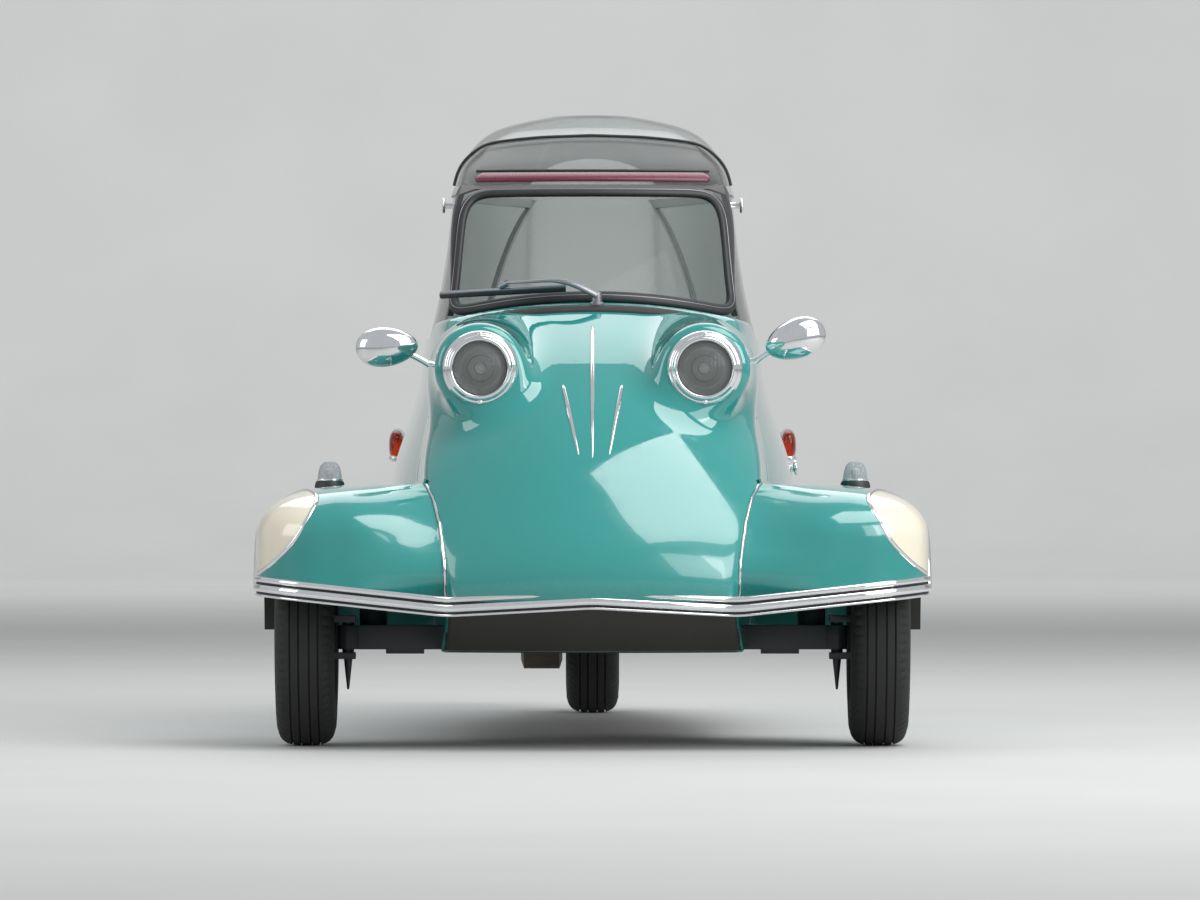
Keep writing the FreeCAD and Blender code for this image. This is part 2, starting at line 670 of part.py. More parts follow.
# Mirrors: a half egg on a tapered stalk with a ridged foot
MIRROR_HEAD = (378, -945, 742)
MIRROR_FOOT = (284, -935, 694)
MIRROR_BACK = 8
EGG_STATIONS = [(-54, 14), (-48, 26), (-34, 35), (-12, 40), (12, 40), (36, 33), (50, 20), (56, 8)]
FOOT_STATIONS = [(-10, 14), (6, 14), (8, 11), (13, 11), (15, 8)]
egg = turned(EGG_STATIONS, MIRROR_HEAD, (1, 0, 0))
egg = egg.common(box((300, -1000, 650), (450, MIRROR_HEAD[1] + MIRROR_BACK, ABOVE)))
mirror_foot = Vector(*MIRROR_FOOT)
stalk_way = Vector(*MIRROR_HEAD) - mirror_foot
stalk = Part.makeCone(8, 5, stalk_way.Length, mirror_foot, stalk_way)
foot = turned(FOOT_STATIONS, MIRROR_FOOT, (1, 0, 0.1))
mirror = egg.fuse([stalk, foot]).cut([hull, nose])
feature("mirror_left", mirror)
feature("mirror_right", mirror.mirror(Vector(0, 0, 0), Vector(1, 0, 0)))

# Chassis: backbone, cross tubes and the front arms with their king pin eyes
TUBE = float(size.frame_tube)
FLOOR = HULL[0][0] + PANEL + float(size.seating)
HUB = float(size.tyre_radius)
PIN_OUT = float(size.king_pin_out)
PIN = float(size.king_pin_radius)
PIN_GAP = float(size.king_pin_gap)
backbone_z = FLOOR + TUBE
ARM_LOW = 177
JACK_PAD = 8
ARM_HIGH = 221
backbone = cylinder(TUBE, 1930, (0, -1225, backbone_z), (0, 1, 0))
ENGINE_CROSS = 700
# Cross tubes: place along the car, half length
CROSS_TUBES = ((AXLE, 260), (-330, 250), (ENGINE_CROSS, 120))
cross_tubes = [cylinder(TUBE, 2 * half, (-half, place_y, backbone_z), (1, 0, 0)) for place_y, half in CROSS_TUBES]
column_foot = Vector(0, -800, 330)
column_head = Vector(0, -430, 690)
column_way = (column_head - column_foot).normalize()
COLUMN = float(size.column_radius)
SLEEVE_WALL = 9
sleeve = Part.makeCylinder(COLUMN + SLEEVE_WALL, 60, column_foot - column_way * 10, column_way)
strut = box((-12, column_foot.y - 24, backbone_z), (12, column_foot.y + 24, column_foot.z))
sleeve_bore = Part.makeCylinder(COLUMN + PIN_GAP, 200, column_foot - column_way * SEATING, column_way)
frame_solid = backbone.fuse(cross_tubes + [strut, sleeve]).cut(sleeve_bore)
feature("chassis_frame", frame_solid.removeSplitter())

EYE = PIN + 9
front_arm = box((270, AXLE - 28, ARM_LOW), (430, AXLE + 28, ARM_HIGH))
eye_link = box((420, AXLE - EYE, ARM_LOW), (PIN_OUT, AXLE + EYE, ARM_HIGH))
eye = cylinder(EYE, ARM_HIGH - ARM_LOW, (PIN_OUT, AXLE, ARM_LOW), (0, 0, 1))
spring_can = cylinder(26, 100, (404, AXLE + 52, 190), (0, 0, 1))
spring_link = box((380, AXLE + 20, 195), (404, AXLE + 52, 215))
jack_pad = box((310, AXLE - 22, ARM_LOW - JACK_PAD), (380, AXLE + 22, ARM_LOW))
front_arm = front_arm.fuse([eye_link, eye, jack_pad, spring_can, spring_link]).cut(hull)
front_arm = front_arm.cut(cylinder(PIN + PIN_GAP, 200, (PIN_OUT, AXLE, 100), (0, 0, 1)))
feature("front_arm_left", front_arm.removeSplitter())
feature("front_arm_right", front_arm.mirror(Vector(0, 0, 0), Vector(1, 0, 0)).removeSplitter())

# Knuckles: king pin, fork, upright and stub axle, with the pointed lever below
STUB = float(size.stub_radius)
FORK = 12
FORK_GAP = 6
king_pin = cylinder(PIN, ARM_HIGH - ARM_LOW + 2 * (FORK_GAP + FORK), (PIN_OUT, AXLE, ARM_LOW - FORK_GAP - FORK),
                    (0, 0, 1))
fork_plates = [box((PIN_OUT - 14, AXLE - 22, low), (PIN_OUT + 38, AXLE + 22, low + FORK))
               for low in (ARM_LOW - FORK_GAP - FORK, ARM_HIGH + FORK_GAP)]
upright = box((PIN_OUT + 26, AXLE - 22, ARM_LOW - FORK_GAP - FORK),
              (PIN_OUT + 38, AXLE + 22, ARM_HIGH + FORK_GAP + FORK))
stub = cylinder(STUB, 62, (PIN_OUT + 36, AXLE, HUB), (1, 0, 0))
hub_collar = cylinder(24, 26, (PIN_OUT + 36, AXLE, HUB), (1, 0, 0))
lever = Part.makeCone(8, 2, 56, Vector(PIN_OUT, AXLE, ARM_LOW - FORK_GAP - FORK), Vector(0, 0, -1))
knuckle = king_pin.fuse(fork_plates + [upright, stub, hub_collar, lever]).removeSplitter()
feature("knuckle_left", knuckle)
feature("knuckle_right", knuckle.mirror(Vector(0, 0, 0), Vector(1, 0, 0)))

# Handlebar steering
bar_reach = float(size.bar_half)
BAR = float(size.bar_radius)
column = Part.makeCylinder(COLUMN, (column_head - column_foot).Length, column_foot, column_way)
bar_route = [(-bar_reach, -420, 735), (-bar_reach * 0.45, -432, 700), (bar_reach * 0.45, -432, 700),
             (bar_reach, -420, 735)]
handlebar = tube(bar_route, BAR).fuse(column)
feature("steering_bar", handlebar.removeSplitter())

# Swing arm and rear spindle
ARM_IN = float(size.tyre_width) / 2 + 9
ARM_WIDTH = 20
ARM_HALF_HEIGHT = 17
arms = [box((start, ENGINE_CROSS, HUB - ARM_HALF_HEIGHT), (start + ARM_WIDTH, BACK_AXLE + 28, HUB + ARM_HALF_HEIGHT))
        for start in (ARM_IN, -ARM_IN - ARM_WIDTH)]
spindle = cylinder(STUB, 2 * (ARM_IN + ARM_WIDTH), (-ARM_IN - ARM_WIDTH, BACK_AXLE, HUB), (1, 0, 0))
swing = spindle.fuse(arms).cut(DOC.chassis_frame.Shape)
feature("swing_arm", swing)

# Exhaust silencer and tail pipe
silencer = turned([(0, 20), (6, 38), (78, 38), (84, 20)], (-145, 700, 136.7), (1, 0, 0))
pipe = tube([(-104, 700, 128), (-104, 800, 118), (-112, 1180, 118)], 13)
feature("exhaust", silencer.fuse(pipe).removeSplitter())

# Cabin fittings
SEAT_HALF = float(size.seat_half)


def seat(profile, half, soft):
    """Upholstered seat: its side view drawn out to both sides, edges rounded."""
    block = prism(profile, half)
    return block.makeFillet(soft, [e for e in block.Edges if e.Length > 30])


driver_profile = [(-300, 300), (110, 300), (215, 770), (140, 785), (50, 385), (-300, 375)]
rear_profile = [(330, 320), (600, 320), (705, 790), (640, 800), (545, 400), (330, 395)]
feature("driver_seat", seat(driver_profile, SEAT_HALF, 18))
feature("rear_seat", seat(rear_profile, 150, 18))


def pedestal(half, front, back, top):
    """Folded steel seat mounting: two sides and a top."""
    profile = [(-half, FLOOR), (-half, top), (half, top), (half, FLOOR), (half - 6, FLOOR),
               (half - 6, top - 6), (6 - half, top - 6), (6 - half, FLOOR)]
    block = prism(profile, 0.5 * (back - front), "Y")
    block.translate(Vector(0, 0.5 * (back + front), 0))
    return block


feature("seat_mountings", Part.makeCompound([pedestal(150, -270, 80, 299.7), pedestal(130, 345, 590, 319.7)]))
DASH_FRONT = FACE + POD_LENGTH + float(size.seating)
dash = prism([(DASH_FRONT, 640), (-880, 640), (-772, 690), (-770, 735), (-800, 742), (DASH_FRONT, 742)], 215)
feature("dashboard", dash.common(inside).cut(nose))
engine = box((-130, 660, FLOOR), (130, BACK_AXLE - 266, 420))
engine = engine.cut([DOC.chassis_frame.Shape, DOC.swing_arm.Shape])
feature("engine_block", engine)
BRACKET_BACK = 1410
BRACKET_THICK = 3
BRACKET_HALF = 90
BRACKET_RISE = 19
bracket = box((-BRACKET_HALF, BRACKET_BACK - BRACKET_THICK, PLATE_HEIGHT - BRACKET_RISE),
              (BRACKET_HALF, BRACKET_BACK, PLATE_HEIGHT + BRACKET_RISE))
bracket = bracket.fuse([cylinder(8, 40, (side * PLATE_HOLES, BRACKET_BACK - 40, PLATE_HEIGHT), (0, 1, 0))
                        for side in (-1, 1)])
feature("plate_bracket", bracket.cut(hull).cut(plate_holes))

# Canopy hinges and engine lid hinge
HINGE_X = -400
HINGE_Z = 465
HINGE_PIN = 5
HINGE_LUG = 8
eyes = []
lugs = []
for place_y in (-400, -60):
    eye_part = cylinder(HINGE_LUG, 24, (HINGE_X, place_y - 12, HINGE_Z), (0, 1, 0))
    foot_part = box((HINGE_X - HINGE_LUG, place_y - 12, HINGE_Z - 30), (-330, place_y + 12, HINGE_Z - 7))
    web_part = box((HINGE_X - HINGE_LUG, place_y - 12, HINGE_Z - 20), (HINGE_X + HINGE_LUG, place_y + 12, HINGE_Z))
    eye_part = eye_part.fuse([foot_part, web_part]).cut(hull)
    eyes.append(eye_part.cut(cylinder(HINGE_PIN + 0.3, 90, (HINGE_X, place_y - 45, HINGE_Z), (0, 1, 0))))
    lug_part = cylinder(HINGE_PIN, 80, (HINGE_X, place_y - 40, HINGE_Z), (0, 1, 0))
    for start in (place_y - 40, place_y + 18):
        lug_part = lug_part.fuse([cylinder(HINGE_LUG, 22, (HINGE_X, start, HINGE_Z), (0, 1, 0)),
                                  box((HINGE_X - 2, start, HINGE_Z + 3), (-330, start + 22, HINGE_Z + 8))])
    lugs.append(lug_part.cut(hull))
feature("canopy_hinge_eyes", Part.makeCompound([e.removeSplitter() for e in eyes]))
feature("canopy_hinge_lugs", Part.makeCompound([e.removeSplitter() for e in lugs]))

LID_AXIS = (LID_REAR + 3, 616)
lid_eye = cylinder(7, 30, (-15, LID_AXIS[0], LID_AXIS[1]), (1, 0, 0))
lid_eye = lid_eye.fuse(box((-15, LID_AXIS[0], LID_AXIS[1] - 30), (15, LID_AXIS[0] + 24, LID_AXIS[1])))
lid_eye = lid_eye.cut(hull).cut(cylinder(4.3, 60, (-30, LID_AXIS[0], LID_AXIS[1]), (1, 0, 0)))
feature("lid_hinge_eye", lid_eye)
lid_lug = cylinder(4, 96, (-48, LID_AXIS[0], LID_AXIS[1]), (1, 0, 0))
for start in (-48, 21):
    lid_lug = lid_lug.fuse([cylinder(7, 27, (start, LID_AXIS[0], LID_AXIS[1]), (1, 0, 0)),
                            box((start, LID_AXIS[0] - 26, LID_AXIS[1] - 30), (start + 27, LID_AXIS[0] - 4,
                                                                             LID_AXIS[1] + 5))])
feature("lid_hinge_lugs", lid_lug.cut(hull).removeSplitter())


# Wheels
def tyre(name, x, y):
    radius, half = size.tyre_radius, size.tyre_width / 2
    crown = half - 22
    shoulder = half - 7
    bead = size.rim_width / 2 - size.rim_wall - size.seating
    seat = size.rim_radius
    lip = seat + size.rim_flange + 1
    edge = radius - size.tyre_shoulder
    waist = (edge + seat) / 2
    corners = [(-crown, radius), (crown, radius), (shoulder, edge), (half, waist), (bead, lip), (bead, seat),
               (-bead, seat), (-bead, lip), (-half, waist), (-shoulder, edge)]
    return node(place(revolved(name, "XY_Plane", "H_Axis", corners), x, y, size.tyre_radius))


def rim(name, x, y, out):
    """Steel wheel with its hub cap; out is +1 or -1, the side the cap faces."""
    half, seat = size.rim_width / 2, size.rim_radius
    wall, flange = size.rim_wall, size.rim_flange
    bore = size.stub_radius + size.spin_gap
    section = [(-half, seat + flange), (-half + wall, seat + flange), (-half + wall, seat - 0.3),
               (half - wall, seat - 0.3), (half - wall, seat + flange), (half, seat + flange),
               (half, seat - wall), (26, seat - wall - 14), (6 + wall, size.hub_cap_radius),
               (6 + wall, bore), (6 - wall, bore), (6 - wall, size.hub_cap_radius), (-half, seat - wall)]
    corners = [(out * across, radius) for across, radius in section]
    return node(place(revolved(name, "XY_Plane", "H_Axis", corners), x, y, size.tyre_radius))


DOC.recompute()
tyre("tyre_front_left", size.half_track, size.front_axle)
rim("rim_front_left", size.half_track, size.front_axle, 1)
tyre("tyre_front_right", -size.half_track, size.front_axle)
rim("rim_front_right", -size.half_track, size.front_axle, -1)
tyre("tyre_rear", 0, size.rear_axle)
rim("rim_rear", 0, size.rear_axle, 1)

# Check and write
DOC.recompute()
faults = [thing.Name for thing in DOC.Objects
          if any(word in state for state in thing.State for word in ("Invalid", "Error"))]
if faults:
    raise RuntimeError("failed: " + ", ".join(faults))
for piece in NODES:
    if piece.Shape.isNull() or not piece.Shape.isValid():
        raise RuntimeError("bad shape: " + piece.Label)
os.makedirs("parts", exist_ok=True)
for piece in NODES:
    piece.Shape.exportStep("parts/%s.step" % piece.Label)
print(len(NODES), "pieces written")
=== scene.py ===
# %% [markdown]
# # A tandem bubble car
# The car is a three-wheeler with two seats in a row, an enclosed cockpit with a
# blown dome, and one driven wheel at the back. The CAD model gives every
# piece its place and its size. This lesson dresses that model: pressed steel
# gets soft corners and paint, glass gets its rubber, and tyres get a tread.
# We start by loading the CAD frame.

import math

import bmesh
import bpy
import numpy as np
from mathutils import Matrix, Vector
from mathutils.bvhtree import BVHTree


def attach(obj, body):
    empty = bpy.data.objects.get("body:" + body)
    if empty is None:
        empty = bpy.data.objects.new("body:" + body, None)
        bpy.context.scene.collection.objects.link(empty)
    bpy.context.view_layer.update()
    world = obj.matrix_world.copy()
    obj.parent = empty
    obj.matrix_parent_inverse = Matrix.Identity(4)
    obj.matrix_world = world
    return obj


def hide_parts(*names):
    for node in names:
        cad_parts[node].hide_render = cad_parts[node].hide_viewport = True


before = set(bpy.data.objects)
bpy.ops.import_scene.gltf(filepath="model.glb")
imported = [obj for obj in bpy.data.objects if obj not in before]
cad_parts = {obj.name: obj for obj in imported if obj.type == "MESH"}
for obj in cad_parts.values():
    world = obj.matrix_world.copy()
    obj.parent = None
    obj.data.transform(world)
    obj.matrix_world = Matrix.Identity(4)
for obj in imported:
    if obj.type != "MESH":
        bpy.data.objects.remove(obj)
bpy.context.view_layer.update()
scene = bpy.context.scene
print("CAD nodes:", len(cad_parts))

# %% [markdown]
# ## The camera
# The photograph was taken from far away with a long lens, a little above
# knee height. A long lens flattens depth: the rear tyre looks nearly as wide as
# the front ones. We found its distance from the widths of the front and rear
# tyres, and its height from the places where they meet the ground. The small
# shift keeps the car where it stands in the picture without turning the camera.

# %% Place the camera
LENS_MM = 273.66
CAMERA_DISTANCE = 17.8
CAMERA_HEIGHT = 0.562
camera_data = bpy.data.cameras.new("long_lens")
camera_data.sensor_width = 36
camera_data.lens = LENS_MM
camera_data.shift_x = 0.00625
camera_data.shift_y = -0.00833
camera_data.clip_end = 100
camera = bpy.data.objects.new("long_lens", camera_data)
camera.location = (0, -CAMERA_DISTANCE, CAMERA_HEIGHT)
camera.rotation_euler = (math.pi / 2, 0, 0)
scene.collection.objects.link(camera)
scene.camera = camera
print("camera at", tuple(round(c, 2) for c in camera.location))

# %% [markdown]
# ## Writing a finish as arithmetic
# A surface in Blender is a small graph of nodes. Wiring it by hand in code is
# long, so we wrap a socket in a class that knows plus, minus and times. Then
# `0.3 + 0.2 * noise` writes its own Math nodes, and a finish reads like a recipe.

# %% A socket that can be calculated with
class Wire:
    """One output of a node, for use in plain arithmetic."""

    def __init__(self, finish, socket):
        self.finish = finish
        self.socket = socket

    def maths(self, operation, *others):
        made = self.finish.add("Math", {"operation": operation}, dict(enumerate((self,) + others)))
        return Wire(self.finish, made.outputs[0])

    def __add__(self, other):
        return self.maths("ADD", other)

    __radd__ = __add__

    def __mul__(self, other):
        return self.maths("MULTIPLY", other)

    __rmul__ = __mul__

    def __sub__(self, other):
        return self.maths("SUBTRACT", other)

    def __rsub__(self, other):
        return self * -1.0 + other

    def power(self, other):
        return self.maths("POWER", other)


class Finish:
    """A material under construction."""

    def __init__(self, name, **surface):
        self.material = bpy.data.materials.new(name)
        self.material.use_nodes = True
        self.tree = self.material.node_tree
        self.shader = self.tree.nodes["Principled BSDF"]
        self.set(**surface)

    def set(self, **surface):
        """Set or link sockets of the surface, named with _ for a space."""
        for name, value in surface.items():
            words = " ".join(w if w == "IOR" else w.capitalize() for w in name.split("_"))
            self.feed(self.shader.inputs[words], value)

    def feed(self, socket, value):
        if isinstance(value, Wire):
            self.tree.links.new(value.socket, socket)
        elif isinstance(value, tuple) and len(value) == 3 and socket.type == "RGBA":
            socket.default_value = value + (1.0,)
        else:
            socket.default_value = value

    def add(self, kind, settings=None, inputs=None):
        """Any node: its type, its settings, then the values or links of its sockets."""
        made = self.tree.nodes.new("ShaderNode" + kind)
        for name, value in (settings or {}).items():
            setattr(made, name, value)
        for name, value in (inputs or {}).items():
            self.feed(made.inputs[name], value)
        return made

    def place(self):
        """Where a point lies on the car, in metres."""
        return Wire(self, self.add("NewGeometry").outputs["Position"])

    def axes(self):
        split = self.add("SeparateXYZ", None, {0: self.place()})
        return [Wire(self, split.outputs[i]) for i in range(3)]

    def back_side(self):
        """1 where a face is seen from behind, and 0 from its front."""
        return Wire(self, self.add("NewGeometry").outputs["Backfacing"])

    def noise(self, scale, detail):
        made = self.add("TexNoise", None, {"Vector": self.place(), "Scale": scale, "Detail": detail})
        return Wire(self, made.outputs["Fac"])

    def cells(self, scale):
        made = self.add("TexVoronoi", None, {"Vector": self.place(), "Scale": scale})
        return Wire(self, made.outputs["Distance"])

    def mix(self, share, first, second):
        """Colour between two colours."""
        made = self.add("Mix", {"data_type": "RGBA"}, {0: share, 6: first, 7: second})
        return Wire(self, made.outputs[2])

    def bump(self, height, strength, distance):
        made = self.add("Bump", None, {"Strength": strength, "Distance": distance, "Height": height})
        self.set(normal=Wire(self, made.outputs[0]))


print("shader arithmetic is ready")

# %% [markdown]
# ## Coachwork paint
# The body is sprayed steel: a turquoise coat under a clear gloss. Real paint is
# never one colour. It has a faint orange-peel ripple, the colour drifts a
# little from panel to panel, and road dust dulls the lowest edges. The clear
# coat is its own layer in the Principled shader, so the gloss stays sharp while the
# colour below stays soft.

# %% Mix the paints
DUST_LINE = 0.26
TURQUOISE = (0.020, 0.265, 0.245)
DEEP_TURQUOISE = (0.015, 0.235, 0.218)


def paint(name, colour, deep, inside=None):
    """Gloss paint; inside, if given, is a near-black colour on the faces seen from behind: painted shade on
    the sheet's back.
    """
    made = Finish(name, roughness=0.32, coat_weight=1.0, coat_roughness=0.03, specular_IOR_level=0.5)
    drift = made.noise(2.3, 3.0)
    shade = made.mix(drift, deep, colour)
    # faces seen from behind take the inside colour: painted shade
    if inside:
        shade = made.mix(made.back_side(), shade, inside)
    made.set(base_color=shade)
    x, y, z = made.axes()
    grime = (DUST_LINE - z) * 5.0 * made.noise(38.0, 4.0)
    made.set(roughness=(0.3 + grime * 0.3).maths("MINIMUM", 0.6))
    made.bump(made.noise(420.0, 1.0), 0.02, 0.0004)
    return made.material


turquoise = paint("turquoise_paint", TURQUOISE, DEEP_TURQUOISE)
# the wings' backs are near black: painted shade inside the wheel arches
wing_paint = paint("wing_paint", TURQUOISE, DEEP_TURQUOISE, inside=(0.010, 0.012, 0.011))
cream = paint("cream_paint", (0.80, 0.74, 0.60), (0.74, 0.68, 0.54))
print("paints:", turquoise.name, cream.name)

# %% [markdown]
# ## Chrome, rubber and the rest
# Plated parts are a mirror with a hint of haze where fingers and polish have
# been. Rubber is almost black but never quite: it greys with age and has a fine
# grain. Chassis parts are brushed with satin paint that has picked up dirt.

# %% Metals
def metal(name, colour, rough, spread, grain=60.0):
    """Plated or painted metal with a hint of haze."""
    made = Finish(name, metallic=1.0, roughness=rough)
    haze = made.noise(grain, 3.0)
    made.set(base_color=made.mix(haze, tuple(0.86 * c for c in colour), colour))
    made.set(roughness=rough + spread * haze)
    made.bump(made.noise(grain * 9, 2.0), 0.03, 0.0003)
    return made.material


chrome = metal("chrome", (0.86, 0.87, 0.88), 0.04, 0.06)
reflector = metal("lamp_reflector", (0.88, 0.88, 0.86), 0.1, 0.05)
wiper_steel = metal("wiper_steel", (0.30, 0.31, 0.33), 0.36, 0.12, 150.0)
silver_wheel = metal("silver_wheel_paint", (0.62, 0.64, 0.65), 0.34, 0.12, 90.0)


# %% Rubber, trim and chassis paint
def dull(name, colour, worn, rough, grain, depth):
    """Rubber or satin paint that is worn to another colour in soft spots."""
    made = Finish(name, roughness=rough)
    spots = made.noise(grain * 0.12, 4.0)
    made.set(base_color=made.mix(spots * 0.5, colour, worn))
    made.set(roughness=rough - 0.12 + 0.24 * spots)
    made.bump(made.noise(grain, 3.0), depth, 0.0006)
    return made.material


black_rubber = dull("black_rubber", (0.012, 0.012, 0.013), (0.045, 0.045, 0.046), 0.5, 500.0, 0.1)
tyre_rubber = dull("tyre_rubber", (0.008, 0.009, 0.009), (0.030, 0.029, 0.027), 0.72, 380.0, 0.25)
chassis_paint = dull("chassis_paint", (0.016, 0.022, 0.030), (0.06, 0.055, 0.05), 0.42, 140.0, 0.15)
under_paint = dull("underside_paint", (0.009, 0.0085, 0.007), (0.03, 0.027, 0.021), 0.36, 70.0, 0.1)
exhaust_steel = dull("exhaust_steel", (0.05, 0.045, 0.04), (0.16, 0.12, 0.09), 0.5, 200.0, 0.3)
engine_paint = dull("engine_casting", (0.16, 0.165, 0.17), (0.26, 0.26, 0.25), 0.5, 300.0, 0.4)


DOOR_LINE = -0.50


def frame_finish():
    """Black rubber ahead of the door line, polished alloy behind it."""
    made = Finish("window_frame_finish")
    x, y, z = made.axes()
    behind = ((y - DOOR_LINE) * 400.0).maths("MAXIMUM", 0.0).maths("MINIMUM", 1.0)
    made.set(base_color=made.mix(behind, (0.010, 0.010, 0.011), (0.74, 0.74, 0.73)), metallic=behind)
    made.set(roughness=0.32 + 0.12 * made.noise(150.0, 3.0))
    return made.material


window_frame_finish = frame_finish()
print("metals and rubbers mixed")


# %% [markdown]
# ## Glass and clear plastic
# The windscreen is bent safety glass and the dome is blown acrylic. Both are
# thin, so they bend light very little: what we see is the scene behind them
# and a reflection that grows towards the edges. We mix a see-through shader
# with a glossy one by the slant of the view, which also lets light into the cockpit.

# %% Clear sheets
def clear_sheet(name, tint, haze, rough=0.01, body=(0.03, 0.03, 0.03)):
    """Thin sheet: tint is what it lets through, haze how much of its own body shows."""
    made = Finish(name, base_color=body, specular_IOR_level=0.5)
    made.set(roughness=rough + 0.02 * made.noise(9.0, 3.0))
    through = made.add("BsdfTransparent", None, {"Color": tint})
    slant = Wire(made, made.add("LayerWeight", None, {"Blend": 0.5}).outputs["Facing"])
    share = slant.power(5) * 0.8 + (haze + 0.035)
    blend = made.add("MixShader", None, {0: share})
    made.tree.links.new(through.outputs[0], blend.inputs[1])
    made.tree.links.new(made.shader.outputs[0], blend.inputs[2])
    made.tree.links.new(blend.outputs[0], made.tree.nodes["Material Output"].inputs["Surface"])
    return made.material


def clear_solid(name, colour, rough, ior=1.5):
    """Thick clear glass or plastic, such as a lamp lens."""
    made = Finish(name, base_color=colour, transmission_weight=1.0, IOR=ior)
    made.set(roughness=rough + 0.04 * made.noise(80.0, 2.0))
    return made.material


window_glass = clear_sheet("window_glass", (0.90, 0.93, 0.92), 0.03)
dome_acrylic = clear_sheet("dome_acrylic", (0.94, 0.95, 0.95), 0.03)
lamp_clear = clear_sheet("lamp_glass", (0.86, 0.88, 0.88), 0.16, 0.05, body=(0.30, 0.31, 0.31))
marker_glass = clear_sheet("marker_glass", (0.80, 0.84, 0.86), 0.34, 0.10, body=(0.45, 0.48, 0.50))
frosted = clear_sheet("frosted_glass", (0.95, 0.95, 0.92), 0.75, 0.5, body=(0.8, 0.8, 0.78))
lens_glass = clear_solid("lens_glass", (0.97, 0.99, 0.99), 0.03)
red_plastic = clear_solid("red_plastic", (0.75, 0.03, 0.015), 0.12, 1.45)
orange_plastic = clear_solid("orange_plastic", (0.95, 0.20, 0.03), 0.12, 1.45)


# %% [markdown]
# ## Upholstery and cloth
# The seats and the trim rail are maroon leathercloth, a coated fabric with a
# printed grain. The grain is a field of small cells, so a cell texture makes
# the bump, and the colour is darker in the low parts of the grain. The sun
# blind is plain white cloth with a weave of two crossing waves.

# %% Coated fabric and woven cloth
def leathercloth(name, colour, crease, rough=0.42):
    """Coated fabric with a printed grain that is darker in its creases."""
    made = Finish(name, roughness=rough, coat_weight=0.15, coat_roughness=0.3)
    grain = made.cells(620.0)
    made.set(base_color=made.mix(grain.power(0.5) * made.noise(14.0, 3.0), crease, colour))
    made.set(roughness=rough + 0.2 * grain)
    made.bump(grain, 0.35, 0.0008)
    return made.material


def woven(name, light, dark, threads):
    """Cloth whose warp and weft are two crossing waves."""
    made = Finish(name, roughness=0.85)
    x, y, z = made.axes()
    warp = (x * threads).maths("SINE")
    weft = (y * threads).maths("SINE")
    weave = warp * weft * 0.5 + 0.5
    made.set(base_color=made.mix(weave, dark, light))
    made.bump(weave, 0.3, 0.0005)
    return made.material


maroon = leathercloth("maroon_leathercloth", (0.17, 0.025, 0.045), (0.09, 0.012, 0.022))
maroon_rail = leathercloth("maroon_trim_rail", (0.155, 0.018, 0.045), (0.115, 0.012, 0.034), 0.16)
grey_trim = leathercloth("grey_trim", (0.33, 0.33, 0.32), (0.24, 0.24, 0.23))
blind_cloth = woven("white_blind_cloth", (0.86, 0.86, 0.85), (0.74, 0.74, 0.73), 3600.0)
print("cloths:", maroon.name, blind_cloth.name)

# %% [markdown]
# ## First coat on the CAD nodes
# Every CAD node gets its real finish now, before any new piece is built. The
# nodes that are already right keep it, and the others are replaced later. Flat
# shading would show the facets of the CAD mesh, so the chassis parts that still
# show get smooth shading with an angle limit further on.

# %% Dress the CAD nodes
NODE_FINISHES = {
    turquoise: ("nose_shell", "tub_shell", "tail_shell", "wing_left", "wing_right", "canopy_frame",
                "engine_lid"),
    chrome: ("front_moulding", "nose_spears", "headlamp_rims", "mirror_left", "mirror_right", "canopy_handle",
             "window_knobs", "canopy_hinge_eyes", "canopy_hinge_lugs", "lid_hinge_eye", "lid_hinge_lugs"),
    lens_glass: ("headlamp_lenses", "marker_lamp_lenses"),
    black_rubber: ("marker_lamp_bases", "windscreen_seal", "dome_hoop"),
    orange_plastic: ("side_lamps",),
    red_plastic: ("tail_lamps",),
    window_glass: ("windscreen_glass", "side_windows"),
    dome_acrylic: ("dome",),
    blind_cloth: ("sun_blind",),
    maroon_rail: ("header_rail",),
    maroon: ("driver_seat", "rear_seat", "dashboard"),
    window_frame_finish: ("window_frame",),
    wiper_steel: ("wiper",),
    chassis_paint: ("chassis_frame", "front_arm_left", "front_arm_right", "swing_arm", "knuckle_left",
                    "knuckle_right", "seat_mountings", "steering_bar", "plate_bracket"),
    exhaust_steel: ("exhaust",),
    engine_paint: ("engine_block",),
    tyre_rubber: ("tyre_front_left", "tyre_front_right", "tyre_rear"),
    silver_wheel: ("rim_front_left", "rim_front_right", "rim_rear"),
}


def dress(thing, material):
    """One finish all over a mesh or curve."""
    thing.data.materials.clear()
    thing.data.materials.append(material)


dressed = 0
for material, names in NODE_FINISHES.items():
    for name in names:
        dress(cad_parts[name], material)
        dressed += 1
print("dressed", dressed, "of", len(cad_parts), "nodes")

# %% [markdown]
# ## The body as one smooth skin
# The real body was pressed from steel sheet over a tubular frame. Its designer
# drew plan outlines at rising heights and let the sheet flow through them. We
# do the same: each row of the table is one outline, in metres, and a cubic
# curve runs up through the rows, so the skin has no kinks for the gloss to betray.

# %% Outlines of the body and of the glazing
# level, nose tip, nose half width, its place, cowl, cabin, tail half width, its place, tail end
HULL = np.array([(0.175, -1.295, 0.276, -1.245, 0.286, 0.300, 0.120, 1.150, 1.230),
                 (0.300, -1.402, 0.264, -1.350, 0.306, 0.362, 0.150, 1.285, 1.380),
                 (0.430, -1.365, 0.298, -1.262, 0.326, 0.388, 0.150, 1.298, 1.403),
                 (0.600, -1.235, 0.296, -1.050, 0.306, 0.350, 0.120, 1.200, 1.275),
                 (0.700, -1.105, 0.284, -0.930, 0.292, 0.318, 0.096, 1.080, 1.125),
                 (0.765, -0.985, 0.272, -0.868, 0.284, 0.306, 0.076, 0.975, 1.005),
                 (0.830, -0.840, 0.244, -0.812, 0.262, 0.292, 0.060, 0.850, 0.875)])
